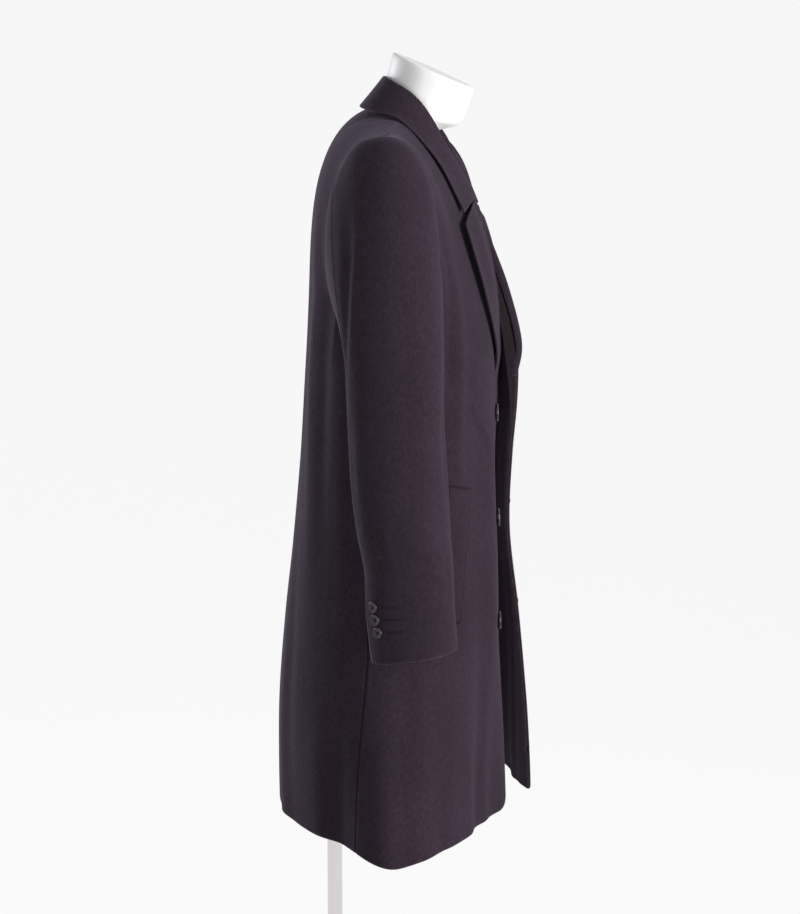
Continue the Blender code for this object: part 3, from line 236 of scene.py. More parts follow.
# the roll line, where each front turns back into its lapel, from the neck to the break
ROLL_COLUMNS = ("run", "out", "forward", "height", "ease_left")
ROLL = (
    (0.00, 0.0860, 0.1160, 1.4660, 0.000),
    (0.08, 0.0795, 0.1450, 1.4460, -0.005),
    (0.18, 0.0710, 0.1720, 1.4120, -0.013),
    (0.28, 0.0630, 0.1930, 1.3760, -0.018),
    (0.38, 0.0560, 0.2095, 1.3380, -0.016),
    (0.50, 0.0510, 0.2235, 1.2900, -0.0105),
    (0.64, 0.0480, 0.2345, 1.2330, 0.001),
    (0.78, 0.0465, 0.2385, 1.1750, 0.0145),
    (0.90, 0.0455, 0.2415, 1.1300, 0.0195),
    (1.00, 0.0450, 0.2435, 1.0950, 0.0180),
)
SEAM_DEPTH, SEAM_WIDTH = 0.0010, 0.0012     # the groove along a pressed seam
SEAM_SWELL, SWELL_AT = 0.0003, 0.0040       # the soft roll of cloth beside it
# press also sets how dark the painted shade along a seam is, and soft seams get a painted highlight on the
# ridge beside them
SIDE_PRESS, ARM_PRESS, SHOULDER_PRESS = 1.0, 0.35, 0.15     # how hard each seam is pressed
SHOULDER_BEND, SHOULDER_ROUND = 0.20, 0.028     # the yoke curves over the shoulder seam
# paler free edges (wear and a painted sheen) and painted shade along seams: width of each, and how far the
# painted highlight on a soft seam's ridge is from the seam
WEAR_AND_SHEEN_WIDE, SEAM_SHADE_WIDE, SEAM_SHEEN_AT, SEAM_SHEEN_WIDE = 0.0018, 0.0014, 0.0016, 0.0012
WAVE, WAVES, WAVE_SHIFT = 0.008, 4.1, 31    # how far a fold's line wavers, how often, and from where
FOLD_CLEAR = 0.03         # soft folds fade out this close to a seam
CLOSE = (0.0004, 0.0009, 0.0015, 0.0024, 0.0040, 0.0065)     # grid lines beside an edge

# soft folds of the back: place on the panel (0 the middle, 1 the side seam), the heights on
# the grid where each starts and ends, half width as a share, depth (plus stands out), lean
BACK_FOLDS = (
    (0.62, 0.30, 1.70, 0.055, 0.0032, 0.030),
    (0.74, 0.42, 1.60, 0.050, -0.0036, 0.020),
    (0.88, 0.70, 1.90, 0.045, 0.0026, -0.020),
    (0.30, 0.55, 1.50, 0.070, -0.0018, 0.015),
    (0.12, 0.80, 2.20, 0.060, 0.0016, 0.000),
    (0.45, 1.10, 2.30, 0.060, -0.0024, -0.010),
    (0.90, 1.30, 2.40, 0.040, -0.0018, 0.010),
)


def eased(first, leave, last, arrive, t):
    """Smooth curve from the first value (t 0) to the last (t 1) with a slope at either end."""
    return ((1 + 2 * t) * (1 - t) ** 2 * first + t * (1 - t) ** 2 * leave
            + t * t * (3 - 2 * t) * last + t * t * (t - 1) * arrive)


def cubic(stations, values, at):
    """Smooth curve through values at rising stations, slopes from the neighbours."""
    stations = np.asarray(stations, float)
    values = np.asarray(values, float)
    at = np.clip(np.asarray(at, float), stations[0], stations[-1])
    secant = np.diff(values) / np.diff(stations)
    slope = np.empty_like(values)
    slope[1:-1] = 0.5 * (secant[1:] + secant[:-1])
    slope[0], slope[-1] = secant[0], secant[-1]
    cell = np.clip(np.searchsorted(stations, at, side="right") - 1, 0, len(stations) - 2)
    width = stations[cell + 1] - stations[cell]
    return eased(values[cell], width * slope[cell], values[cell + 1], width * slope[cell + 1],
                 (at - stations[cell]) / width)


def column(table, names, name, at):
    """Read one named column of a table at values of its first column."""
    rows = np.asarray(table, float)
    rows = rows[np.argsort(rows[:, 0])]
    return cubic(rows[:, 0], rows[:, names.index(name)], at)


def bump(x):
    """A smooth hill: 1 in the middle and 0 from -1 and 1 outwards."""
    return np.where(np.abs(x) < 1, 0.5 + 0.5 * np.cos(np.pi * np.clip(x, -1, 1)), 0.0)


def smoothstep(x):
    """A soft step: 0 up to 0, 1 from 1 on."""
    x = np.clip(x, 0, 1)
    return x * x * (3 - 2 * x)


def unit(vectors):
    """Vectors of length one."""
    return vectors / np.maximum(np.linalg.norm(vectors, axis=-1, keepdims=True), 1e-12)


def place(out, forward, height, side=LEFT):
    """Points from their distance out, forward and up, on one side of the body."""
    out, forward, height = np.broadcast_arrays(out, forward, height)
    return np.stack([side * out, -forward, height], axis=-1)


def along(lengths, values, wanted):
    """Read values at wanted lengths, each point along its own row of rising lengths."""
    cell = np.clip((lengths < wanted[..., None]).sum(axis=-1) - 1, 0, lengths.shape[-1] - 2)[..., None]
    low, high = (np.take_along_axis(lengths, cell + k, axis=-1)[..., 0] for k in (0, 1))
    first, second = (np.take_along_axis(values, cell + k, axis=-1)[..., 0] for k in (0, 1))
    return first + (second - first) * (wanted - low) / np.maximum(high - low, 1e-9)


def section_point(height, share, side):
    """Point on the level section at a height, share of the way round from back to front:
    a quarter oval from the back to the widest place and one from there to the edge."""
    def read(name):
        return column(SECTIONS, SECTION_COLUMNS, name, height)[..., None]
    height, share = np.broadcast_arrays(np.asarray(height, float), np.asarray(share, float))
    back, half_width, widest, front = (read(name) for name in ("back", "half_width", "widest", "front"))
    angles = np.linspace(0, 0.5 * np.pi, 65)
    power_back, power_front = 2.0 / read("square_back"), 2.0 / read("square_front")
    outs = np.concatenate([half_width * np.sin(angles) ** power_back,
                           half_width * np.cos(angles[1:]) ** power_front], axis=-1)
    forwards = np.concatenate([widest - (widest - back) * np.cos(angles) ** power_back,
                               widest + (front - widest) * np.sin(angles[1:]) ** power_front], axis=-1)
    steps = np.hypot(np.diff(outs, axis=-1), np.diff(forwards, axis=-1))
    lengths = np.concatenate([np.zeros_like(steps[..., :1]), np.cumsum(steps, axis=-1)], axis=-1)
    ahead = np.s_[..., len(angles) - 1:]
    edge = along(-outs[ahead], lengths[ahead], np.full(height.shape, -EDGE_OUT))
    out = along(lengths, outs, share * edge)
    forward = along(lengths, forwards, share * edge)
    kick = bump((out - EDGE_OUT) / KICK_WIDTH) * (share > AHEAD_FROM)
    forward = forward + FRONT_KICK * smoothstep((KICK_TOP - height) / KICK_DROP) * kick
    if side == LEFT:
        forward = forward + smoothstep((share - EASE_FROM) / EASE_OVER) * read("ease_left")[..., 0]
    else:
        fold = bump((out - FOLD_OUT) / FOLD_WIDTH) * (share > AHEAD_FROM)
        fold = fold * smoothstep((FOLD_TOP - height) / FOLD_RISE)
        forward = forward + FOLD_LIFT * fold * smoothstep((height - FOLD_FOOT) / FOLD_FALL)
    for middle, spread, depth, start in DRAPES:
        swell = depth * bump((share - middle) / spread)
        swell = swell * smoothstep((start - height) / (start - HEM[0][1])) ** 1.5
        outward = np.arctan2(out, DRAPE_CENTRE - forward)
        out = out + swell * np.sin(outward)
        forward = forward - swell * np.cos(outward)
    return place(out, forward, height, side)


def total_share(height, share, panel):
    """Share of the whole half section for a share of the back or front panel."""
    seam = column(SECTIONS, SECTION_COLUMNS, "seam_share", height)
    return seam * share if panel == "back" else seam + (1 - seam) * share


def armhole_point(turn, side):
    """Point on the closed armhole line."""
    rows = np.asarray(ARMHOLE, float)
    before = rows[-3:] - np.array([1, 0, 0, 0])
    after = rows[:3] + np.array([1, 0, 0, 0])
    rows = np.concatenate([before, rows, after])
    out, forward, height = (cubic(rows[:, 0], rows[:, k], turn) for k in (1, 2, 3))
    return place(out, forward - LEFT_BACK * (side == LEFT), height, side)


def roll_point(run, side):
    """Point on the roll line; the left front hangs a little further forward."""
    out, forward, height = (column(ROLL, ROLL_COLUMNS, name, run)
                            for name in ("out", "forward", "height"))
    if side == LEFT:
        forward = forward + column(ROLL, ROLL_COLUMNS, "ease_left", run)
    return place(out, forward, height, side)


def shoulder_point(share, side):
    """Along the shoulder seam from the neck (0) to the shoulder point (1)."""
    share = np.clip(share, 0, 1)[..., None]
    start, end = place(*NECK_SHOULDER, side), armhole_point(0.0, side)
    return start + (end - start) * share - place(0, 0, SHOULDER_HOLLOW, side) * np.sin(np.pi * share)


def top_point(share, panel, side):
    """Upper line of a panel, away from the armhole. On the back it runs straight on across
    the neck hole, whose edge is cut from the cloth below."""
    if panel == "back":
        shoulder = (share - BACK_NECK_SHARE) / (BACK_ARM_SHARE - BACK_NECK_SHARE)
        near = np.clip(share / BACK_NECK_SHARE, 0, 1)
        inner = place(NECK_SHOULDER[0] * near, NECK_SHOULDER[1],
                      NECK_SHOULDER[2] + RIDGE_RISE * (1 - near ** 2), side)
        is_inner = share < BACK_NECK_SHARE
    else:
        shoulder = (FRONT_NECK_SHARE - share) / (FRONT_NECK_SHARE - FRONT_ARM_SHARE)
        inner = roll_point(np.clip((share - FRONT_NECK_SHARE) / (1 - FRONT_NECK_SHARE), 0, 1), side)
        is_inner = share > FRONT_NECK_SHARE
    return np.where(is_inner[..., None], inner, shoulder_point(shoulder, side))


def join_height(share, panel):
    """Height at which each upper column runs into the skirt."""
    if panel == "back":
        return np.full_like(share, UPPER_JOIN)
    fall = smoothstep((share - FRONT_ARM_SHARE) / (1 - FRONT_ARM_SHARE))
    return UPPER_JOIN + (FRONT_JOIN - UPPER_JOIN) * fall


def hem_height(share, panel, side):
    """The hem dips at the sides and rounds off at the front edges."""
    around = total_share(np.full_like(share, HEM[0][1]), share, panel)
    height = column(HEM, HEM_COLUMNS, "height", around)
    if side == LEFT:
        height = height - HEM_LEFT_DROP * smoothstep((around - DROP_FROM) / DROP_OVER)
    if panel == "front":
        flat = section_point(height, around, side)
        inside = np.clip(1 - (np.abs(flat[..., 0]) - EDGE_OUT) / CORNER_RADIUS, 0, 1)
        height = height + CORNER_RISE * (1 - np.sqrt(1 - inside ** 2))
    return height


def chest_foot(share, panel, side):
    """Where an upper column meets the skirt, and the direction in which it runs up."""
    join = join_height(share, panel)
    foot = section_point(join, total_share(join, share, panel), side)
    higher = section_point(join + 0.02, total_share(join + 0.02, share, panel), side)
    return foot, unit(higher - foot)


def fall_curve(top, go, reach, foot, rise, reach_up, down):
    """Cubic curve that leaves the top in one direction and runs into the foot in another."""
    t = down[..., None]
    drop = np.linalg.norm(top - foot, axis=-1, keepdims=True)
    first, second = top + unit(go) * reach[..., None], foot + rise * reach_up * drop
    return ((1 - t) ** 3 * top + 3 * t * (1 - t) ** 2 * first
            + 3 * t * t * (1 - t) * second + t ** 3 * foot)


def under_arm(share, down, panel, side):
    """Cloth below the armhole, from its lower edge to the skirt; down runs from the corner."""
    if panel == "back":
        turn = BACK_ARM_TURN + (0.5 - BACK_ARM_TURN) * (share - BACK_ARM_SHARE) / (1 - BACK_ARM_SHARE)
    else:
        turn = 0.5 + (FRONT_ARM_TURN - 0.5) * share / FRONT_ARM_SHARE
    top = armhole_point(turn, side)
    foot, rise = chest_foot(share, panel, side)
    t = np.clip((down - ARM_CORNER) / (1 - ARM_CORNER), 0, 1)
    return fall_curve(top, place(*UNDER_GO, side), np.full_like(t, UNDER_REACH), foot, rise, UNDER_RISE, t)


def arm_edge(down, panel, side):
    """The armhole from the shoulder point to its lower corner, then on down to the skirt."""
    corner, last = (BACK_ARM_TURN, 1.0) if panel == "back" else (FRONT_ARM_TURN, 0.0)
    turn = last + (corner - last) * np.clip(down / ARM_CORNER, 0, 1)
    share = np.full_like(down, BACK_ARM_SHARE if panel == "back" else FRONT_ARM_SHARE)
    below = under_arm(share, down, panel, side)
    return np.where((down <= ARM_CORNER)[..., None], armhole_point(turn, side), below)


def chest(share, down, panel, side):
    """Cloth between the armhole and the middle of the back or the front edge."""
    if panel == "back":
        down = below_neckline(share, down, side)
    return drape_chest(share, down, panel, side)


def below_neckline(share, down, side):
    """On the back, start each column at the neckline: a curve in plan round the neck."""
    near = np.clip(share / BACK_NECK_SHARE, 0, 1)
    depth = (NECK_SHOULDER[1] - NECK_BACK_FORWARD) * np.cos(0.5 * np.pi * near)
    tries = np.linspace(0, 0.5, 41)
    column_points = drape_chest(share[..., None], tries, "back", side)
    start = along(NECK_SHOULDER[1] + column_points[..., 1], tries + 0 * share[..., None], depth)
    start = np.where(near < 1, start, 0)
    return start + (1 - start) * down


def neck_point(share, side):
    """Along the back neck from the middle (0) to the shoulder seam (1)."""
    share = np.clip(share, 0, 1) * BACK_NECK_SHARE
    return chest(share, np.zeros_like(share), "back", side)


def drape_chest(share, down, panel, side):
    """The chest's surface: columns that leave the top line and run into the skirt."""
    share, down = np.broadcast_arrays(share, down)
    lay, reach_up = (BACK_LAY, BACK_RISE) if panel == "back" else (FRONT_LAY, FRONT_RISE)
    arm = BACK_ARM_SHARE if panel == "back" else FRONT_ARM_SHARE
    neck = BACK_NECK_SHARE if panel == "back" else FRONT_NECK_SHARE

    def fall(at):
        foot, rise = chest_foot(at, panel, side)
        go = place(*(column(lay, LAY_COLUMNS, name, at)
                     for name in ("go_out", "go_forward", "go_up")), side)
        reach = column(lay, LAY_COLUMNS, "reach", at)
        return fall_curve(top_point(at, panel, side), go, reach, foot, rise, reach_up, down)

    to_arm = arm_edge(down, panel, side) - fall(np.full_like(share, arm))

    def cloth(at):
        near_arm = np.clip(1 - (at - arm) / (neck - arm), 0, 1)[..., None] ** 2
        return fall(at) + to_arm * near_arm

    if panel == "back":
        return cloth(share)
    first, last = BRIDGE
    start, end = np.full_like(share, first), np.full_like(share, last)
    t = np.clip((share - first) / (last - first), 0, 1)[..., None]
    leave = (cloth(start) - cloth(start - 0.02)) * (last - first) / 0.02
    arrive = (cloth(end + 0.02) - cloth(end)) * (last - first) / 0.02
    across = eased(cloth(start), leave, cloth(end), arrive, t)
    free = (smoothstep(down / BRIDGE_DOWN) * ((share > first) & (share < last)))[..., None]
    return cloth(share) * (1 - free) + across * free


def body_point(share, down, panel, side):
    """Outer face of a panel: share across it, down 0 to 1 above the skirt and 1 to 2 in it."""
    share, down = np.broadcast_arrays(np.asarray(share, float), np.asarray(down, float))
    upper_down = np.clip(down, 0, 1)
    under = share > BACK_ARM_SHARE if panel == "back" else share < FRONT_ARM_SHARE
    upper = np.where(under[..., None], under_arm(share, upper_down, panel, side),
                     chest(share, upper_down, panel, side))
    join = join_height(share, panel)
    height = join + (hem_height(share, panel, side) - join) * np.clip(down - 1, 0, 1)
    skirt = section_point(height, total_share(height, share, panel), side)
    return np.where((down <= 1)[..., None], upper, skirt)


def grid_normals(grid, side=LEFT):
    """Outward normals of a grid whose rows run down and whose columns run round to the front."""
    return -side * unit(np.cross(np.gradient(grid, axis=0), np.gradient(grid, axis=1)))


def stations(first, last, cells, length, close_to):
    """Even stations from first to last, with close ones beside some places. length is how many
    metres one unit spans."""
    near = [spot + way * step / length for spot in close_to for way in (-1, 1) for step in CLOSE]
    every = np.concatenate([np.linspace(first, last, cells + 1), near, close_to])
    every = np.unique(np.round(every[(every >= first) & (every <= last)], 7))
    apart = np.concatenate([[True], np.diff(every) > 0.25 * CLOSE[0] / length])
    return every[apart]


def running(grid, axis):
    """Length along one way of a grid, counted from its first line."""
    steps = np.linalg.norm(np.diff(grid, axis=axis), axis=-1)
    return np.concatenate([0 * steps.take([0], axis=axis), np.cumsum(steps, axis=axis)], axis=axis)


def edge_distance(grid, edges):
    """Distance from each point of a grid to the nearest of its named edges."""
    down, across = running(grid, 0), running(grid, 1)
    gone = {"top": down, "foot": down[-1:] - down, "start": across, "end": across[:, -1:] - across}
    return np.min([gone[edge] for edge in edges], axis=0) if edges else np.full(grid.shape[:2], 1.0)


def nearest(*seams):
    """Distance to the nearest of several (distance, press) seams, and that seam's press."""
    gone = np.stack(np.broadcast_arrays(*[distance for distance, press in seams]))
    return gone.min(axis=0), np.array([press for distance, press in seams])[gone.argmin(axis=0)]


def yoke(down):
    """How far the cloth sinks towards the shoulder seam, so that both panels meet on a curve."""
    return SHOULDER_BEND * np.clip(SHOULDER_ROUND - down, 0, None) ** 2 / (2 * SHOULDER_ROUND)


def fold_lift(share, down, folds):
    """Height of the soft folds: each is a hill or a trough across a leaning, slightly wavy line
    that fades out at both ends."""
    lift = np.zeros(np.broadcast(share, down).shape)
    for spot, top, foot, spread, depth, lean in folds:
        middle, half = 0.5 * (top + foot), 0.5 * (foot - top)
        line = spot + lean * (down - middle) + WAVE * np.sin(WAVES * down + WAVE_SHIFT * spot)
        lift = lift + depth * bump((down - middle) / half) * np.exp(-((share - line) / spread) ** 2)
    return lift


def sheet_mesh(name, outer, inner, keep, marks):
    """Closed sheet between two grids: four-sided cells on both faces and along the rim. Its
    "cloth" UV map is in metres along the grain, and marks are named values at its points."""
    rows, cols = outer.shape[:2]
    number = np.arange(rows * cols).reshape(rows, cols)
    cells = np.stack([number[:-1, :-1], number[1:, :-1], number[1:, 1:], number[:-1, 1:]], axis=-1)
    cells = cells.reshape(-1, 4) if keep is None else cells[keep]
    edges = np.stack([cells, np.roll(cells, -1, axis=1)], axis=-1).reshape(-1, 2)
    code = edges[:, 0] * rows * cols + edges[:, 1]
    rim = edges[~np.isin(code, edges[:, 1] * rows * cols + edges[:, 0])]
    walls = np.stack([rim[:, 1], rim[:, 0], rim[:, 0] + rows * cols, rim[:, 1] + rows * cols], axis=-1)
    faces = np.concatenate([cells, cells[:, ::-1] + rows * cols, walls])
    points = np.concatenate([outer.reshape(-1, 3), inner.reshape(-1, 3)])
    grain = np.stack([running(outer, 1), running(outer, 0)], axis=-1).reshape(-1, 2)
    grain = np.concatenate([grain, grain])
    used = np.unique(faces)
    renumber = np.full(len(points), -1)
    renumber[used] = np.arange(len(used))
    points, grain, faces = points[used], grain[used], renumber[faces]
    a, b, c, d = (points[faces[:, k]] for k in range(4))
    if np.einsum("ij,ij->i", a, np.cross(b, c) + np.cross(c, d)).sum() < 0:
        faces = faces[:, ::-1]
    mesh = bpy.data.meshes.new(name)
    mesh.from_pydata(points.tolist(), [], faces.tolist())
    mesh.uv_layers.new(name="cloth").data.foreach_set("uv", grain[faces.ravel()].ravel())
    for mark, value in marks.items():
        both = np.concatenate([value.ravel(), value.ravel()])[used]
        mesh.attributes.new(mark, "FLOAT", "POINT").data.foreach_set("value", both)
    mesh.shade_smooth()
    return mesh


def added(name, mesh, material, node=None):
    """Link a finished mesh as a piece of the coat, in place of a node where one is named."""
    mesh.materials.append(material)
    piece = bpy.data.objects.new(name, mesh)
    bpy.context.scene.collection.objects.link(piece)
    if node:
        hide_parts(node)
    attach(piece, "root")
    return piece


def cloth(name, node, material, grid, normals, wall, free, sewn=1.0, press=1.0, keep=None):
    """Piece of cloth on a grid of its outer face. Free edges are rounded over half the wall, and
    sewn edges dip into a groove with a soft swell beside it, deep where they are pressed hard.
    free and sewn are the distances to the nearest edge of each kind."""
    radius = 0.46 * wall
    inset = np.clip(radius - free, 0, radius)
    rounding = (radius - np.sqrt(radius ** 2 - inset ** 2))[..., None]
    sewn, press = np.broadcast_arrays(sewn + 0 * free, press)
    groove = SEAM_DEPTH * press ** 0.5 * np.exp(-(sewn / SEAM_WIDTH) ** 2)
    groove = groove - SEAM_SWELL * bump((sewn - SWELL_AT) / SWELL_AT)
    outer = grid - normals * (rounding + groove[..., None])
    inner = grid - normals * (wall - rounding)
    # painted highlight on the ridge beside a soft seam, where it would catch the light
    seam_sheen = (1 - press) * np.exp(-((sewn - SEAM_SHEEN_AT) / SEAM_SHEEN_WIDE) ** 2)
    marks = {"wear_and_sheen": np.maximum(np.exp(-(free / WEAR_AND_SHEEN_WIDE) ** 2), seam_sheen),
             "seam_shade": press * np.exp(-(sewn / SEAM_SHADE_WIDE) ** 2)}
    mesh = sheet_mesh(name, outer, inner, keep, marks)
    return added(name, mesh, material, node)


# the wool's patterns, as cells to the metre: nap drawn out along the grain, single fibres, a
# mottle, soft dents and the slow drift of tone; then how much the first three weigh in the
# tone, how high the first four stand, and the specks of lint
NAP, NAP_ALONG, FIBRES, MOTTLE, DENTS, DRIFT = 420.0, (1.0, 0.34, 1.0), 900.0, 150.0, 38.0, 9.0
TONE_SHARES, RELIEF = (0.45, 0.25, 0.30), (0.00030, 0.00025, 0.00040, 0.0009)
SPECKS, SPECK_SIZE, LINT = 26.0, 0.015, (0.34, 0.32, 0.36)
# the free edges' wear and painted sheen is so much paler than the light colour; the drift and the painted
# shade in seams are these shares of the dark, and that painted shade is laid on at this share
WEAR_AND_SHEEN_PALER, DRIFT_SHADE, SEAM_SHADE_DARK, SEAM_SHADE_SHARE = 2.3, 0.62, 0.35, 0.75


def node(tree, kind, values={}, **sources):
    """New shader node with values on its sockets or settings, fed by the named sources."""
    one = tree.nodes.new("ShaderNode" + kind)
    for key, value in values.items():
        if key in one.inputs:
            one.inputs[key].default_value = value
        else:
            setattr(one, key, value)
    for key, source in sources.items():
        tree.links.new(source, one.inputs[key])
    return one


def dented(tree, shader, height, strength, distance):
    """Let a pattern's height bend the shader's normal."""
    relief = node(tree, "Bump", {"Strength": strength, "Distance": distance}, Height=height)
    tree.links.new(relief.outputs["Normal"], shader.inputs["Normal"])


def wool(name, dark, light, sheen, lint=0.25, wear_and_sheen_share=0.32):
    """Felted wool. A nap drawn out along the grain and a mottle of fibres mix the two colours,
    a slow drift of tone lies over them, free edges are paler for wear and a painted sheen, soft seam
    ridges carry a painted highlight, seams are darker with painted shade, and a few specks of lint sit on
    top. Fibres, nap and soft dents all go into the bump."""
    made, tree, shader = finish(name, Roughness=0.94, Specular_IOR_Level=0.06, Sheen_Weight=sheen,
                                Sheen_Roughness=0.42, Sheen_Tint=(0.80, 0.70, 0.95, 1.0))

    def noise(source, scale, detail, stretch=(1, 1, 1)):
        turned_to = node(tree, "Mapping", {"Scale": stretch}, Vector=source)
        return node(tree, "TexNoise", {"Scale": scale, "Detail": detail, "Roughness": 0.6},
                    Vector=turned_to.outputs["Vector"]).outputs["Fac"]

    def maths(operation, first, second):
        one = node(tree, "Math", {"operation": operation})
        for k, value in enumerate((first, second)):
            if isinstance(value, (int, float)):
                one.inputs[k].default_value = value
            else:
                tree.links.new(value, one.inputs[k])
        return one.outputs[0]

    def mixed(factor, first, second):
        one = node(tree, "Mix", {"data_type": "RGBA"})
        for socket, value in ((one.inputs[0], factor), (one.inputs[6], first), (one.inputs[7], second)):
            if isinstance(value, tuple):
                socket.default_value = (*value, 1.0)
            else:
                tree.links.new(value, socket)
        return one.outputs[2]

    def summed(patterns, weights):
        total = maths("MULTIPLY", patterns[0], weights[0])
        for pattern, weight in zip(patterns[1:], weights[1:]):
            total = maths("ADD", total, maths("MULTIPLY", pattern, weight))
        return total

    here = node(tree, "TexCoord").outputs["Object"]
    grain = node(tree, "UVMap", {"uv_map": "cloth"}).outputs["UV"]
    fine = (noise(grain, NAP, 3.0, NAP_ALONG), noise(here, FIBRES, 3.0), noise(here, MOTTLE, 3.0))
    spread = node(tree, "MapRange", {"From Min": 0.36, "From Max": 0.64}, Value=summed(fine, TONE_SHARES))
    colour = mixed(spread.outputs["Result"], dark, light)
    slow = node(tree, "MapRange", {"From Min": 0.3, "From Max": 0.7, "To Min": 0.0, "To Max": 0.30},
                Value=noise(here, DRIFT, 2.0))
    colour = mixed(slow.outputs["Result"], colour, tuple(DRIFT_SHADE * c for c in dark))
    # paler free edges, partly wear and partly a painted sheen, and a painted highlight on the ridge of soft
    # seams
    wear_and_sheen = node(tree, "Attribute", {"attribute_name": "wear_and_sheen"}).outputs["Fac"]
    colour = mixed(maths("MULTIPLY", wear_and_sheen, wear_and_sheen_share), colour, tuple(min(1.0, WEAR_AND_SHEEN_PALER * c) for c in light))
    # painted shade in the grooves of the seams and round the welts
    seam_shade = node(tree, "Attribute", {"attribute_name": "seam_shade"}).outputs["Fac"]
    colour = mixed(maths("MULTIPLY", seam_shade, SEAM_SHADE_SHARE), colour, tuple(SEAM_SHADE_DARK * c for c in dark))
    specks = node(tree, "TexVoronoi", {"Scale": SPECKS}, Vector=here)
    is_speck = maths("MULTIPLY", maths("LESS_THAN", specks.outputs["Distance"], SPECK_SIZE), lint)
    colour = mixed(is_speck, colour, LINT)
    tree.links.new(colour, shader.inputs["Base Color"])

    dented(tree, shader, summed((*fine, noise(here, DENTS, 2.0)), RELIEF), 1.0, 1.0)
    return made


NAVY_DARK, NAVY_LIGHT = (0.0190, 0.0129, 0.0195), (0.0342, 0.0244, 0.0350)
navy_wool = wool("navy_wool", NAVY_DARK, NAVY_LIGHT, 0.12)

DOWN_STATIONS = np.unique(np.concatenate([
    stations(0, 1, 44, 0.36, (0.0, ARM_CORNER)), stations(1, 2, 72, 0.60, (2.0,))]))
BACK_STATIONS = stations(0, 1, 56, 0.34, (BACK_ARM_SHARE, 1.0))


def panel_grid(shares, panel, side):
    """Outer face and normals of a panel with its armhole, and which of its cells are cloth. The
    surface runs on a little past the armhole's edge, so that normals there follow the cloth."""
    arm_share = BACK_ARM_SHARE if panel == "back" else FRONT_ARM_SHARE
    corner = int(np.abs(DOWN_STATIONS - ARM_CORNER).argmin())
    arm = int(np.abs(shares - arm_share).argmin())
    grid = body_point(shares[None, :], DOWN_STATIONS[:, None], panel, side)
    under, inward = (slice(arm + 1, len(shares)), 1) if panel == "back" else (slice(0, arm), -1)
    grid[corner - 1, under] = 2 * grid[corner, under] - grid[corner + 1, under]
    grid[:corner, arm + inward] = 2 * grid[:corner, arm] - grid[:corner, arm - inward]
    normals = grid_normals(grid, side)
    keep = np.ones((len(DOWN_STATIONS) - 1, len(shares) - 1), bool)
    keep[:corner, min(arm, under.start):max(arm, under.stop - 1)] = False
    down, across = running(grid, 0), running(grid, 1)
    to_arm = np.abs(across - across[:, arm:arm + 1])
    to_arm[corner + 1:] = 1.0
    beyond = shares > arm_share if panel == "back" else shares < arm_share
    to_arm[corner:, beyond] = (down - down[corner:corner + 1])[corner:, beyond]
    return grid, normals, keep, to_arm


halves = {side: panel_grid(BACK_STATIONS, "back", side) for side in (LEFT, RIGHT)}
grid, normals, to_arm = (np.concatenate([halves[RIGHT][k][:, :0:-1], halves[LEFT][k]], axis=1)
                         for k in (0, 1, 3))
keep = np.concatenate([halves[RIGHT][2][:, ::-1], halves[LEFT][2]], axis=1)
normals[:, len(BACK_STATIONS) - 1, 0] = 0.0
normals = unit(normals)
share = np.abs(np.concatenate([-BACK_STATIONS[:0:-1], BACK_STATIONS]))[None, :]
lift = fold_lift(share, DOWN_STATIONS[:, None], BACK_FOLDS)
free = edge_distance(grid, ("foot",))
down = edge_distance(grid, ("top",))
sewn, press = nearest((edge_distance(grid, ("start", "end")), SIDE_PRESS), (down, SHOULDER_PRESS),
                      (to_arm, ARM_PRESS))
lift = lift * smoothstep(sewn / FOLD_CLEAR) - yoke(down) * smoothstep(share / BACK_NECK_SHARE)
back = cloth("back_cloth", "back", navy_wool, grid + normals * lift[..., None], normals, WALL, free, sewn,
             press, keep)


# ---------------------------------------------------------------- fronts
# Two fronts of the same wool, open down the middle. Each is sewn to the back at the side and
# the shoulder, turns back into its lapel along the roll line, and has a soft round corner.
FRONT_STATIONS = stations(0, 1, 52, 0.32, (0.0, FRONT_ARM_SHARE, 1.0))
EDGE_NORMALS_FROM = 0.95        # beside the roll line, normals are those of this share
FRONT_FOLDS = {
    RIGHT: (
        (0.44, 0.28, 1.25, 0.035, -0.0026, 0.060),
        (0.52, 0.36, 1.50, 0.040, 0.0022, 0.040),
        (0.62, 0.75, 1.70, 0.060, -0.0016, 0.010),
        (0.93, 0.95, 1.75, 0.025, 0.0020, 0.000),
        (0.20, 1.30, 2.30, 0.070, -0.0026, 0.020),
        (0.72, 1.50, 2.50, 0.045, -0.0020, 0.000),
    ),
    LEFT: (
        (0.45, 0.30, 1.30, 0.035, -0.0024, 0.050),
        (0.54, 0.40, 1.45, 0.045, 0.0020, 0.030),
        (0.66, 0.80, 1.80, 0.060, -0.0018, 0.020),
        (0.25, 1.25, 2.40, 0.070, -0.0024, -0.010),
        (0.80, 1.45, 2.50, 0.050, -0.0018, 0.000),
    ),
}
# a short crease near the hem of the right front: forward and height of its middle, its rise
# for each metre forward, half length, width and depth
HEM_CREASE_AT, HEM_CREASE_RISE, HEM_CREASE = (0.095, 0.528), 0.3, (0.038, 0.006, 0.0016)


def front_grid(side):
    """A front's panel; beside the roll line its normals are held, so that the edge lies flat."""
    grid, normals, keep, to_arm = panel_grid(FRONT_STATIONS, "front", side)
    last = int(np.abs(FRONT_STATIONS - EDGE_NORMALS_FROM).argmin())
    upper = DOWN_STATIONS < 1.0
    normals[upper, last:] = normals[upper, last:last + 1]
    return grid, normals, keep, to_arm


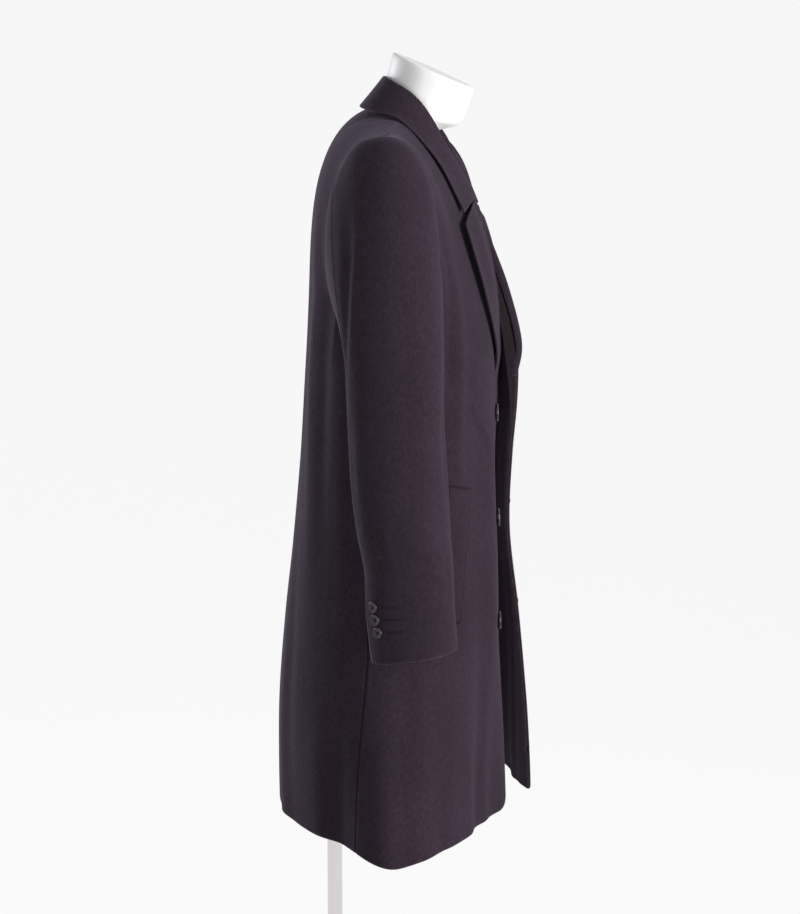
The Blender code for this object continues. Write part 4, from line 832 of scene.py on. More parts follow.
for side, word in SIDES:
    grid, normals, keep, to_arm = front_grid(side)
    lift = fold_lift(FRONT_STATIONS[None, :], DOWN_STATIONS[:, None], FRONT_FOLDS[side])
    free = edge_distance(grid, ("foot", "end"))
    free = np.where(DOWN_STATIONS[:, None] < 0.02, edge_distance(grid, ("end",)), free)
    shoulder = np.where(FRONT_STATIONS[None, :] < FRONT_NECK_SHARE, running(grid, 0), 1.0)
    sewn, press = nearest((edge_distance(grid, ("start",)), SIDE_PRESS), (shoulder, SHOULDER_PRESS),
                          (to_arm, ARM_PRESS))
    if side == RIGHT:
        ahead, rise = -grid[..., 1] - HEM_CREASE_AT[0], grid[..., 2] - HEM_CREASE_AT[1]
        long, wide, deep = HEM_CREASE
        lift = lift - deep * bump(ahead / long) * bump((rise - HEM_CREASE_RISE * ahead) / wide)
    by_neck = smoothstep((1 - FRONT_STATIONS) / (1 - FRONT_NECK_SHARE))
    lift = lift * smoothstep(sewn / FOLD_CLEAR) - yoke(running(grid, 0)) * by_neck
    cloth("front_cloth_" + word, "front_" + word, navy_wool, grid + normals * lift[..., None],
                         normals, WALL, free, sewn, press, keep)


# ---------------------------------------------------------------- facings
# Inside each front a strip of the same wool, laid back to back with it, faces the opening. It
# shows on the inner side of the left front, in the coat's own shade.
GAP = 0.0003              # between pieces that meet
FACING_WALL = 0.0020
FACING_FROM, FACING_FOOT = 0.7771, 1.8889      # first share of the front, and the place of its foot
FACING_STATIONS = stations(FACING_FROM, 1, 22, 0.32, (FACING_FROM, 1.0))
FACING_DOWN = stations(0, FACING_FOOT, 90, 0.50, (0.0, FACING_FOOT))
facing_wool = wool("facing_wool", (0.0240, 0.0155, 0.0195), (0.0500, 0.0340, 0.0420), 0.10,
                   lint=0.1, wear_and_sheen_share=0.06)

for side, word in SIDES:
    grid = body_point(FACING_STATIONS[None, :], FACING_DOWN[:, None], "front", side)
    normals = grid_normals(grid, side)
    last = int(np.abs(FACING_STATIONS - EDGE_NORMALS_FROM).argmin())
    normals[FACING_DOWN < 1.0, last:] = normals[FACING_DOWN < 1.0, last:last + 1]
    grid = grid - normals * (WALL + GAP)
    free = edge_distance(grid, ("start", "end", "top", "foot"))
    piece = cloth("facing_cloth_" + word, "facing_" + word, facing_wool, grid, normals, FACING_WALL, free)


# ---------------------------------------------------------------- lapels
# Front and facing pressed together and turned back along the roll line, 4 mm thick. The leaf
# of the right front stands a finger's width off the chest; the left one lies nearly flat.
LAPEL_WALL = 0.0040       # front cloth and facing, pressed together
# the lapel leaf: place down the roll line, width of the leaf, fall of its crosswise lines, and
# air between the free edge and the front, on each side
LAPEL_COLUMNS = ("run", "width", "drop", "air_right", "air_left")
LAPEL = (
    (0.352, 0.0600, 0.0215, 0.0140, 0.0015),
    (0.450, 0.0615, 0.0210, 0.0145, 0.0015),
    (0.600, 0.0525, 0.0175, 0.0135, 0.0015),
    (0.750, 0.0365, 0.0115, 0.0090, 0.0010),
    (0.880, 0.0190, 0.0070, 0.0035, 0.0005),
    (0.985, 0.0060, 0.0025, 0.0002, 0.0003),
)
NOTCH_AT, NOTCH_DROP, NOTCH_FADE = 0.50, 0.0070, 0.14
LAPEL_BELLY = 0.003       # fullness of the free edge
LEAF_START = 0.12         # where the leaf lies flat, as a share of its width from the roll line
LIP_STEP = 0.008          # the lip follows the front this far from the roll line
# section of the roll: distance from the roll line into the front, and height above its face
ROLL_AIR = 0.0025         # air under the leaf beside the roll
ROLL_FLAT, ROLL_FADE = 0.75, 0.15     # the roll gets flatter towards its foot, over this much of it
ROLL_SECTION = ((-0.0042, -0.0040), (-0.0056, -0.0008), (-0.0050, 0.0030), (-0.0014, 0.0056))
LAPEL_CELLS, LAPEL_CROSS = 9, 6
LAPEL_FINER = (9, 7)            # grid lines for each cell of the leaf, down and across
LAPEL_SINK, SINK_LONG = 0.0075, 0.060   # each leaf runs out into the front's edge at its foot
# the free edge of the right leaf falls towards the chest, over this width, from above its foot
LEAF_DROOP, DROOP_WIDE, DROOP_FROM = {RIGHT: 0.0060, LEFT: 0.0}, 0.045, 0.14


def fine_panel(panel, side):
    """Points and outward normals of a panel on a fine grid, clear of the armhole."""
    first, last = (0.0, BACK_ARM_SHARE) if panel == "back" else (FRONT_ARM_SHARE, 1.0)
    shares = np.linspace(first, last, 61)
    down = np.concatenate([np.linspace(0, 1, 51), np.linspace(1, 2, 41)[1:]])
    points = body_point(shares[None, :], down[:, None], panel, side)
    return points.reshape(-1, 3), grid_normals(points, side).reshape(-1, 3)


PANELS = {(panel, side): fine_panel(panel, side) for panel in ("back", "front") for side in (LEFT, RIGHT)}


def on_front(out, height, side):
    """Point and normal of a front's outer face at a distance out and a height."""
    points, normals = PANELS["front", side]
    out, height = np.broadcast_arrays(out, height)
    misses = (side * points[:, 0] - out[..., None]) ** 2 + (points[:, 2] - height[..., None]) ** 2
    nearest = misses.argmin(axis=-1)
    point, normal = points[nearest], normals[nearest]
    step_x, step_z = side * out - point[..., 0], height - point[..., 2]
    y = point[..., 1] - (normal[..., 0] * step_x + normal[..., 2] * step_z) / normal[..., 1]
    return np.stack([side * out, y, height], axis=-1), normal


def lapel_grid(side):
    """Middle of the leaf's cloth: columns run from inside the roll, over it, to the free edge."""
    runs = np.linspace(LAPEL[0][0], LAPEL[-1][0], LAPEL_CELLS + 1)
    across = np.linspace(LEAF_START, 1.0, LAPEL_CROSS)
    width, drop = (column(LAPEL, LAPEL_COLUMNS, name, runs)[:, None] for name in ("width", "drop"))
    roll = roll_point(runs, side)
    notch = NOTCH_DROP * np.clip((across - NOTCH_AT) / (1 - NOTCH_AT), 0, 1)
    notch = notch * (1 - smoothstep((runs - runs[0]) / NOTCH_FADE))[:, None]
    belly = LAPEL_BELLY * np.sin(np.pi * (runs - runs[0]) / (runs[-1] - runs[0]))[:, None] * across
    out = np.abs(roll[:, :1]) + across * width + belly
    chest_at, normal = on_front(out, roll[:, 2:] - across * drop - notch, side)
    lifted = column(LAPEL, LAPEL_COLUMNS, "air_left" if side == LEFT else "air_right", runs)
    air = 0.5 * LAPEL_WALL + GAP + lifted[:, None] * across ** 1.3 + ROLL_AIR * (1 - across)
    leaf = chest_at + normal * air[..., None]
    beside, outward = on_front(np.abs(roll[:, 0]) + LIP_STEP, roll[:, 2], side)
    inward, outward = unit(beside - roll)[:, None], outward[:, None]
    fullness = (ROLL_FLAT + (1 - ROLL_FLAT) * smoothstep((LAPEL[-1][0] - runs) / ROLL_FADE))[:, None, None]
    turned_in = np.array([row[0] for row in ROLL_SECTION])[None, :, None]
    raised = np.array([row[1] for row in ROLL_SECTION])[None, :, None]
    raised = np.where(raised > 0, 0.5 * LAPEL_WALL + GAP + (raised - 0.5 * LAPEL_WALL) * fullness, raised)
    lip = roll[:, None] + inward * turned_in + outward * raised
    return np.concatenate([lip, leaf], axis=1)


def spline(grid, places):
    """Read a grid at fractional row numbers, on smooth curves through its rows."""
    slope = np.gradient(grid, axis=0)
    cell = np.clip(places.astype(int), 0, len(grid) - 2)
    return eased(grid[cell], slope[cell], grid[cell + 1], slope[cell + 1], (places - cell)[:, None, None])


def finer(grid, rows, cols, close=0.03):
    """The same grid with more lines each way, the outer ones drawn close to the edges."""
    def lines(count, cells):
        even = np.linspace(0, count - 1, (count - 1) * cells + 1)
        beside = close * np.array([1, 2.2, 4, 7])
        return np.unique(np.concatenate([even, beside, count - 1 - beside]))
    tall = spline(grid, lines(len(grid), rows))
    return spline(tall.swapaxes(0, 1), lines(grid.shape[1], cols)).swapaxes(0, 1)


for side, word in SIDES:
    middle = finer(lapel_grid(side), *LAPEL_FINER)
    to_foot = edge_distance(middle, ("foot",)).max(axis=1)[:, None]
    middle[..., 1] += LAPEL_SINK * smoothstep(1 - to_foot / SINK_LONG) ** 1.5
    normals = grid_normals(middle)
    droop = LEAF_DROOP[side] * smoothstep(1 - edge_distance(middle, ("end",)) / DROOP_WIDE)
    droop = droop * smoothstep(to_foot / DROOP_FROM)
    grid = middle + normals * (0.5 * LAPEL_WALL - droop[..., None])
    free = edge_distance(middle, ("top", "foot", "start", "end"))
    piece = cloth("lapel_cloth_" + word, "lapel_" + word, navy_wool, grid, normals, LAPEL_WALL, free)


# ---------------------------------------------------------------- collar
# Under collar and top collar, 3.4 mm together. The stand rises from the neck seam, folds over
# behind the neck, and the fall comes down to the gorge, where it meets each lapel.
COLLAR_WALL = 0.0034      # under collar and top collar
GORGE_RUN = 0.328         # where the collar ends and the lapel begins, along the roll line
# the collar, along the neck from the middle of the back to the gorge: its fold and free edge
COLLAR_COLUMNS = ("run", "fold_out", "fold_forward", "fold_height",
                  "edge_out", "edge_forward", "edge_height", "ease_left")
COLLAR = (
    (0.00, 0.000, 0.0770, 1.5215, 0.000, 0.0475, 1.4810, 0.000),
    (0.14, 0.040, 0.0860, 1.5195, 0.056, 0.0520, 1.4785, -0.002),
    (0.30, 0.066, 0.1060, 1.5100, 0.094, 0.0750, 1.4725, -0.010),
    (0.42, 0.074, 0.1300, 1.4950, 0.108, 0.1070, 1.4665, -0.018),
    (0.56, 0.071, 0.1510, 1.4690, 0.111, 0.1310, 1.4530, -0.024),
    (0.70, 0.066, 0.1720, 1.4310, 0.112, 0.1530, 1.4320, -0.025),
    (0.84, 0.061, 0.1935, 1.3930, 0.109, 0.1775, 1.4000, -0.0245),
    (1.00, 0.0565, 0.2125, 1.3590, 0.110, 0.2090, 1.3390, -0.020),
)
COLLAR_SHOULDER_RUN = 0.42              # where the collar passes the shoulder seam
STAND_LIFT = 0.0016                     # foot of the stand above the neck seam
EASE_RAISE = 0.09                       # the left half, further back, also rides this share higher
COLLAR_SEAT = 0.0027                    # least air under the fall
# rows of the collar: -1 is the foot of the stand, 0 the fold, 1 the free edge; rounding of each
COLLAR_SECTION = ((-1.0, 0.0), (-0.6, 0.0), (-0.25, 0.0), (-0.06, -0.0004), (0.06, -0.0004),
                  (0.25, 0.0008), (0.5, 0.0014), (0.75, 0.0010), (1.0, 0.0))
COLLAR_CELLS = 13
COLLAR_FINER, SEAM_CLOSE = (8, 4), 0.0016
# the right half's free edge falls by this much, starting and full at these places forward
COLLAR_DROOP, COLLAR_DROOP_FROM = 0.0040, (0.085, 0.135)


def lift_clear(points, side, clearance):
    """Move points outward where they come closer to the back or front than a clearance."""
    cloud, normals = (np.concatenate([PANELS["back", side][k], PANELS["front", side][k]]) for k in (0, 1))
    flat = points.reshape(-1, 3)
    nearest = ((flat[:, None, :] - cloud[None, :, :]) ** 2).sum(axis=-1).argmin(axis=1)
    above = ((flat - cloud[nearest]) * normals[nearest]).sum(axis=-1)
    return (flat + normals[nearest] * np.maximum(clearance - above, 0)[:, None]).reshape(points.shape)


def collar_foot(run, side):
    """The neck seam: along the back neck, then down the roll line to the gorge."""
    round_front = (run - COLLAR_SHOULDER_RUN) / (1 - COLLAR_SHOULDER_RUN) * GORGE_RUN
    front = roll_point(np.clip(round_front, 0, 1), side)
    behind = neck_point(run / COLLAR_SHOULDER_RUN, side)
    return np.where((run < COLLAR_SHOULDER_RUN)[..., None], behind, front)


def collar_grid(side):
    """Middle of the collar's cloth: rows rise up the stand, over the fold and down the fall."""
    run = np.linspace(0, 1, COLLAR_CELLS + 1)

    ease = column(COLLAR, COLLAR_COLUMNS, "ease_left", run) * (side == LEFT)

    def read(part):
        out, forward, height = (column(COLLAR, COLLAR_COLUMNS, part + "_" + name, run)
                                for name in ("out", "forward", "height"))
        return place(out, forward + ease, height - EASE_RAISE * ease, side)
    fold, edge, seam = read("fold"), read("edge"), collar_foot(run, side)
    foot = seam + unit(fold - seam) * STAND_LIFT
    crown = unit(fold - 0.5 * (foot + edge))
    rows = []
    for cross, rounding in COLLAR_SECTION:
        if cross <= 0:
            rows.append(fold + (fold - foot) * cross + crown * rounding)
        else:
            rows.append(fold + (edge - fold) * cross + crown * rounding)
    grid = np.array(rows)
    fall = len([row for row in COLLAR_SECTION if row[0] < 0.2])
    grid[fall:] = lift_clear(grid[fall:], side, 0.5 * COLLAR_WALL + COLLAR_SEAT)
    return grid


middle = np.concatenate([collar_grid(RIGHT)[:, :0:-1], collar_grid(LEFT)], axis=1)
middle = finer(middle, *COLLAR_FINER)
middle[0] += SEAM_CLOSE * unit(middle[0] - middle[1])       # the stand meets the neck seam
normals = grid_normals(middle)
ahead = (-middle[..., 1] - COLLAR_DROOP_FROM[0]) / (COLLAR_DROOP_FROM[1] - COLLAR_DROOP_FROM[0])
droop = COLLAR_DROOP * smoothstep(ahead) * smoothstep(1 - edge_distance(middle, ("foot",)) / DROOP_WIDE)
grid = middle + normals * (0.5 * COLLAR_WALL - (droop * (middle[..., 0] * RIGHT > 0))[..., None])
free = edge_distance(middle, ("foot", "start", "end"))
collar = cloth("collar_cloth", "collar", navy_wool, grid, normals, COLLAR_WALL, free)


# ---------------------------------------------------------------- sleeves
# Two-piece sleeves of the same wool: a wide top sleeve, eased into the armhole over a thin
# roll of padding, and a narrow under sleeve. They hang a little forward, with a soft crease
# behind the arm above the elbow.
SLEEVE_WALL = 0.0025
# level sections of the sleeve, and the place of its back seam on them
SLEEVE_COLUMNS = ("height", "out", "forward", "half_depth", "half_width", "back_seam", "tilt")
SLEEVE = (
    (1.130, 0.2670, 0.1385, 0.0640, 0.0460, -76.0, 0.0000),
    (1.060, 0.2660, 0.1400, 0.0630, 0.0455, -80.0, 0.0000),
    (0.990, 0.2660, 0.1435, 0.0628, 0.0460, -80.0, 0.0010),
    (0.930, 0.2670, 0.1495, 0.0610, 0.0460, -79.0, 0.0020),
    (0.880, 0.2675, 0.1570, 0.0585, 0.0450, -77.0, 0.0040),
    (0.830, 0.2690, 0.1590, 0.0585, 0.0440, -66.0, 0.0070),
    (0.767, 0.2760, 0.1660, 0.0570, 0.0440, -56.0, 0.0100),
)
SLEEVE_SQUARE = 2.25
ARMHOLE_SEAT = 0.0009           # sleeves start this far off the armhole
SLEEVE_FRONT_SEAM = 148.0       # degrees forward from the outermost line
SLEEVE_TOP_SEAM = -36.0         # where the back seam meets the armhole
HEAD_RISE = 0.42                # how far the arm's upright run reaches up
# how the sleeve head leaves the armhole, by turn
HEAD_COLUMNS = ("turn", "go_out", "go_forward", "go_up", "reach")
HEAD = (
    (0.00, 0.97, 0.05, 0.16, 0.055),
    (0.13, 0.90, 0.30, 0.05, 0.045),
    (0.26, 0.62, 0.30, -0.72, 0.045),
    (0.38, 0.40, 0.10, -0.91, 0.030),
    (0.50, 0.50, 0.00, -0.87, 0.022),
    (0.63, 0.45, -0.05, -0.89, 0.030),
    (0.76, 0.66, -0.12, -0.74, 0.045),
    (0.88, 0.90, -0.22, 0.02, 0.045),
    (1.00, 0.97, 0.05, 0.16, 0.055),
)
HEAD_ROLL, HEAD_ROLL_AT = 0.0014, 0.010       # the padded roll behind the armhole seam
HEAD_ROLL_TURN = 10           # it is fullest this many degrees forward of the outermost line
HEAD_LONG, ARM_LONG = 0.30, 0.37              # lengths of the sleeve head and of the arm
SLEEVE_PRESS = 0.45
# the crease behind the arm: place down the sleeve, degrees round it, and its depth
HIND_COLUMNS = ("down", "angle", "depth")
HIND = (
    (0.20, -14.0, 0.0),
    (0.42, -17.0, 0.0012),
    (0.53, -20.0, 0.0032),
    (0.62, -27.0, 0.0042),
    (0.72, -37.0, 0.0042),
    (0.83, -47.0, 0.0034),
    (0.95, -56.0, 0.0016),
    (1.10, -62.0, 0.0),
)
HIND_MIDDLE, HIND_HALF = 0.65, 0.46           # it fades out at both ends
RIDGE_SHARE, RIDGE_WIDE, HOLLOW_BEHIND, HOLLOW_WIDE = 0.35, 3.0, 10.0, 8.0    # degrees round the sleeve
SLEEVE_WAVE, SLEEVE_WAVES = 2.0, 5.0          # degrees by which a fold's line wavers, and how often
# soft folds of the sleeve: degrees round it, place of its two ends, half width, depth, lean
SLEEVE_FOLDS = (
    (52.0, 0.30, 1.00, 11.0, 0.0016, 12.0),
    (84.0, 0.75, 1.60, 9.0, -0.0020, -8.0),
    (20.0, 0.55, 1.30, 14.0, -0.0014, 6.0),
    (-10.0, 1.20, 1.90, 12.0, 0.0014, -10.0),
    (62.0, 1.35, 1.95, 10.0, -0.0014, 10.0),
    (100.0, 1.10, 1.70, 8.0, 0.0018, -6.0),
    (-60.0, 1.05, 1.60, 9.0, -0.0016, 6.0),
)
SLEEVE_DOWN = np.unique(np.concatenate([stations(0, 1, 36, HEAD_LONG, (0.0,)),
                                        stations(1, 2, 56, ARM_LONG, (2.0,))]))
ROUND_TOP, ROUND_UNDER = stations(0, 1, 56, 0.19, (0.0, 1.0)), stations(0, 1, 30, 0.15, (0.0, 1.0))


def sleeve_ring(height, angle, side):
    """Point on the arm's level oval, degrees round it."""
    def read(name):
        return column(SLEEVE, SLEEVE_COLUMNS, name, height)
    sine, cosine = np.sin(np.radians(angle)), np.cos(np.radians(angle))
    power = 2.0 / SLEEVE_SQUARE
    out = read("out") + read("half_width") * np.sign(cosine) * np.abs(cosine) ** power
    forward = read("forward") + read("half_depth") * np.sign(sine) * np.abs(sine) ** power
    forward = forward - LEFT_BACK * (side == LEFT)
    return place(out, forward, height + read("tilt") * sine, side)


def sleeve_point(angle, down, side):
    """Outer face of a sleeve: degrees round it, 0 outermost and 90 at the front; down 0 to 1
    over the sleeve head and 1 to 2 along the arm."""
    angle, down = np.broadcast_arrays(np.asarray(angle, float), np.asarray(down, float))
    turn = np.mod(angle / 360.0, 1.0)
    biceps, cuff = SLEEVE[0][0], SLEEVE[-1][0]
    foot = sleeve_ring(np.full_like(angle, biceps), angle, side)
    below = sleeve_ring(np.full_like(angle, biceps - 0.02), angle, side)
    go = unit(place(*(column(HEAD, HEAD_COLUMNS, name, turn)
                      for name in ("go_out", "go_forward", "go_up")), side))
    reach = column(HEAD, HEAD_COLUMNS, "reach", turn)
    seam = armhole_point(turn, side) + (go + place(1, 0, 0, side)) * ARMHOLE_SEAT
    head = fall_curve(seam, go, reach, foot, unit(foot - below), HEAD_RISE, np.clip(down, 0, 1))
    arm = sleeve_ring(biceps + (cuff - biceps) * np.clip(down - 1, 0, 1), angle, side)
    return np.where((down <= 1)[..., None], head, arm)


def back_seam_angle(down):
    """The sleeve's back seam starts on the shoulder blade side and runs to the back fold."""
    height = SLEEVE[0][0] + (SLEEVE[-1][0] - SLEEVE[0][0]) * np.clip(down - 1, 0, 1)
    low = column(SLEEVE, SLEEVE_COLUMNS, "back_seam", height)
    return SLEEVE_TOP_SEAM + (low - SLEEVE_TOP_SEAM) * smoothstep(down)


def sleeve_lift(angle, down):
    """The padded roll at the head, the crease behind the arm, and soft folds like the body's."""
    above = smoothstep((np.cos(np.radians(angle - HEAD_ROLL_TURN)) + 0.2) / 0.7)
    head = HEAD_ROLL * bump((down * HEAD_LONG - HEAD_ROLL_AT) / HEAD_ROLL_AT) * above
    line, depth = (column(HIND, HIND_COLUMNS, name, down) for name in ("angle", "depth"))
    depth = depth * bump((down - HIND_MIDDLE) / HIND_HALF) ** 0.5
    behind = line - angle
    ridge = RIDGE_SHARE * np.exp(-(behind / RIDGE_WIDE) ** 2)
    crease = depth * (ridge - np.exp(-((behind - HOLLOW_BEHIND) / HOLLOW_WIDE) ** 2))
    lift = head + crease
    for spot, top, foot, spread, depth, lean in SLEEVE_FOLDS:
        middle, half = 0.5 * (top + foot), 0.5 * (foot - top)
        line = spot + lean * (down - middle) + SLEEVE_WAVE * np.sin(SLEEVE_WAVES * down + spot)
        lift = lift + depth * bump((down - middle) / half) * np.exp(-((angle - line) / spread) ** 2)
    return lift


for side, word in SIDES:
    down = SLEEVE_DOWN[:, None]
    rear = back_seam_angle(down)
    top = rear + (SLEEVE_FRONT_SEAM - rear) * ROUND_TOP
    under = SLEEVE_FRONT_SEAM + (rear + 360 - SLEEVE_FRONT_SEAM) * ROUND_UNDER
    angle = np.concatenate([top, under[:, 1:]], axis=1)
    grid = sleeve_point(angle, down, side)
    loop = grid[:, :-1]
    across = np.roll(loop, -1, axis=1) - np.roll(loop, 1, axis=1)
    across = np.concatenate([across, across[:, :1]], axis=1)
    normals = -side * unit(np.cross(np.gradient(grid, axis=0), across))
    lift = sleeve_lift(angle, down)
    lift[:, -1] = lift[:, 0]
    grid = grid + normals * lift[..., None]
    grid[0] += SEAM_CLOSE * unit(grid[0] - grid[1])         # the head meets the armhole seam
    for part, cols in (("top", np.s_[:, :len(ROUND_TOP)]), ("under", np.s_[:, len(ROUND_TOP) - 1:])):
        free = edge_distance(grid[cols], ("foot",))
        sewn, press = nearest((edge_distance(grid[cols], ("start", "end")), SLEEVE_PRESS),
                              (edge_distance(grid[cols], ("top",)), ARM_PRESS))
        piece = cloth("sleeve_%s_cloth_%s" % (part, word), "sleeve_%s_%s" % (part, word), navy_wool,
                      grid[cols], normals[cols], SLEEVE_WALL, free, sewn, press)


# ---------------------------------------------------------------- pocket welts
# A slanted strip of the same wool on each front, folded double, 3 mm thick. Its front edge is
# the fold, its ends are sewn down, and the pocket opens behind it.
WELT_TOP_HEIGHT, WELT_FOOT_HEIGHT = 0.978, 0.795
WELT_TOP_SHARE, WELT_FOOT_SHARE = 0.618, 0.508      # front edge of the welt
WELT_WIDTH_SHARE = 0.175
WELT_TILT = 0.010          # how much lower the ends lie at the front edge than at the back
WELT_WALL, WELT_SEAT = 0.0030, 0.0009
WELT_LONG, WELT_WIDE = 0.19, 0.050
WELT_LINES, WELT_PRESS, WELT_SEAM = (60, 24), 1.0, 0.42   # its seams are wider than the others

for side, word in SIDES:
    down = stations(0, 1, WELT_LINES[0], WELT_LONG, (0.0, 1.0))[:, None]
    height = WELT_TOP_HEIGHT + (WELT_FOOT_HEIGHT - WELT_TOP_HEIGHT) * down
    front_edge = WELT_TOP_SHARE + (WELT_FOOT_SHARE - WELT_TOP_SHARE) * down
    across = stations(0, 1, WELT_LINES[1], WELT_WIDE, (0.0, 1.0))
    share = front_edge - WELT_WIDTH_SHARE * (1 - across)
    height = height - WELT_TILT * across
    face = section_point(height, total_share(height, share, "front"), side)
    normals = grid_normals(face, side)
    grid = face + normals * (WELT_SEAT + WELT_WALL)
    free = edge_distance(grid, ("top", "foot", "start", "end"))
    # all four edges count as sewn, so a groove with painted shade in it runs round the welt
    piece = cloth("welt_cloth_" + word, "welt_" + word, navy_wool, grid, normals, WELT_WALL, 1.0 + 0 * free,
                  WELT_SEAM * free, WELT_PRESS)


# ---------------------------------------------------------------- buttons
# Turned discs of dark horn with a raised rim, a dished middle and four holes: three of 25 mm
# down the right front and three of 15 mm on each cuff, sewn on with navy thread.
# buttons: radius, thickness of the rim, dish depth
FRONT_BUTTON = (0.0125, 0.0042, 0.0012)
CUFF_BUTTON = (0.0075, 0.0034, 0.0009)
FRONT_BUTTON_HEIGHTS = (1.062, 0.915, 0.768)
FRONT_BUTTON_INSET = 0.022      # from the front edge
CUFF_BUTTON_RISES = (0.040, 0.056, 0.072)    # above the cuff's edge
CUFF_BUTTON_TURN = 25.0         # degrees in front of the sleeve's back seam
BUTTON_SEAT = 0.0005
HOLE_AT, HOLE_RADIUS, HOLE_DEPTH = 0.20, 0.085, 0.7     # of the button's radius, and of its face's height
THREAD, THREADS_APART, THREAD_ARCH = 0.0003, 0.00064, 0.00075   # radius, between strands, rise over the face
THREAD_REACH, THREAD_SINK = 1.05, 0.0004         # strands run on past the holes and end below the face
# section of a button from the middle of its face over the rim to the middle of its underside:
# share of its radius, and of the dished face's height. The rim is what stands above 1.
BUTTON_SECTION = (
    (0.00, 1.00), (0.05, 1.00), (0.09, 1.00), (0.12, 1.00), (0.15, 1.00), (0.18, 1.00), (0.21, 1.00),
    (0.24, 1.00), (0.27, 1.00), (0.30, 1.00), (0.34, 1.00), (0.40, 1.00), (0.50, 1.00), (0.62, 1.12),
    (0.72, 1.35), (0.80, 1.47), (0.88, 1.50), (0.94, 1.42), (0.98, 1.22), (1.00, 0.90), (0.99, 0.50),
    (0.96, 0.22), (0.90, 0.06), (0.80, 0.00), (0.40, 0.00), (0.00, 0.00))
PITTED = 12                             # so many rings from the middle take the holes


def button_mesh(name, size, point, normal):
    """Disc on a polar grid: a profile turned round the axis, from the middle of the face over
    the rim to the middle of the underside, with the four holes sunk into the face."""
    radius, thick, dish = size
    reach, rise = np.array(BUTTON_SECTION).T
    face = thick - dish
    rise = np.where(rise > 1, face + (rise - 1) * 2.0 * dish, rise * face)
    turn = np.linspace(0, 2 * np.pi, 72, endpoint=False)
    across, up = reach[:, None] * np.cos(turn), reach[:, None] * np.sin(turn)
    pits = np.zeros_like(across)
    for k in range(4):
        corner = np.pi * (0.25 + 0.5 * k)
        hole_x, hole_y = HOLE_AT * np.cos(corner), HOLE_AT * np.sin(corner)
        pits = pits + smoothstep(1.6 - np.hypot(across - hole_x, up - hole_y) / HOLE_RADIUS)
    rise = rise[:, None] - np.where(np.arange(len(reach))[:, None] < PITTED, HOLE_DEPTH * face * pits, 0)
    axis = unit(np.asarray(normal, float))
    right = unit(np.cross(axis, (0.0, 0.0, 1.0)))
    top = np.cross(right, axis)
    points = (np.asarray(point, float) + axis * (rise[..., None] + BUTTON_SEAT)
              + radius * (across[..., None] * right + up[..., None] * top))
    number = np.arange(points[..., 0].size).reshape(points.shape[:2])
    number[0], number[-1] = number[0, 0], number[-1, 0]
    ahead = np.roll(number, -1, axis=1)
    faces = np.stack([number[:-1], ahead[:-1], ahead[1:], number[1:]], axis=-1)
    faces = ([f[1:] for f in faces[0].tolist()] + faces[1:-1].reshape(-1, 4).tolist()
             + [f[:3] for f in faces[-1].tolist()])
    return tidy_mesh(name, points.reshape(-1, 3), faces)


def tidy_mesh(name, points, faces):
    """Smooth mesh from points and faces, without unused points and with its faces outwards."""
    used = np.unique(np.concatenate([np.asarray(f) for f in faces]))
    renumber = np.full(len(points), -1)
    renumber[used] = np.arange(len(used))
    points = points[used]
    faces = [renumber[np.asarray(f)].tolist() for f in faces]
    fan = np.array([(f[0], f[k], f[k + 1]) for f in faces for k in range(1, len(f) - 1)])
    middle = points.mean(axis=0)
    a, b, c = (points[fan[:, k]] - middle for k in range(3))
    if np.einsum("ij,ij->i", a, np.cross(b, c)).sum() < 0:
        faces = [f[::-1] for f in faces]
    mesh = bpy.data.meshes.new(name)
    mesh.from_pydata(points.tolist(), [], faces)
    mesh.shade_smooth()
    return mesh


def ring_faces(count, sides):
    """Numbers of the points in a stack of rings, and the four-sided faces between the rings."""
    number = np.arange(count * sides).reshape(count, sides)
    ahead = np.roll(number, -1, axis=1)
    faces = np.stack([number[:-1], ahead[:-1], ahead[1:], number[1:]], axis=-1)
    return number, faces.reshape(-1, 4).tolist()


def tube(path, radius, sides=8):
    """Closed round strand along a path of points; radius may change along it."""
    radius = np.broadcast_to(np.asarray(radius, float), len(path))
    forward = unit(np.gradient(path, axis=0))
    helper = np.where(np.abs(forward[:, 2:]) < 0.9, (0.0, 0.0, 1.0), (1.0, 0.0, 0.0))
    right = unit(np.cross(forward, helper))
    top = np.cross(right, forward)
    turn = np.linspace(0, 2 * np.pi, sides, endpoint=False)[None, :, None]
    outward = np.cos(turn) * right[:, None] + np.sin(turn) * top[:, None]
    rings = path[:, None] + radius[:, None, None] * outward
    number, faces = ring_faces(len(path), sides)
    return rings.reshape(-1, 3), faces + [number[0].tolist(), number[-1, ::-1].tolist()]


def toned(tree, shader, factor, dark, light, low=0.0, high=1.0):
    """Let a pattern run the shader's colour from dark to light."""
    ramp = node(tree, "ValToRGB", {}, Fac=factor)
    for end, position, colour in zip(ramp.color_ramp.elements, (low, high), (dark, light)):
        end.position, end.color = position, (*colour, 1.0)
    tree.links.new(ramp.outputs["Color"], shader.inputs["Base Color"])


def glossed(tree, shader, factor, smooth, rough):
    """Let a pattern run the shader's roughness between two values."""
    gloss = node(tree, "MapRange", {"To Min": smooth, "To Max": rough}, Value=factor)
    tree.links.new(gloss.outputs["Result"], shader.inputs["Roughness"])


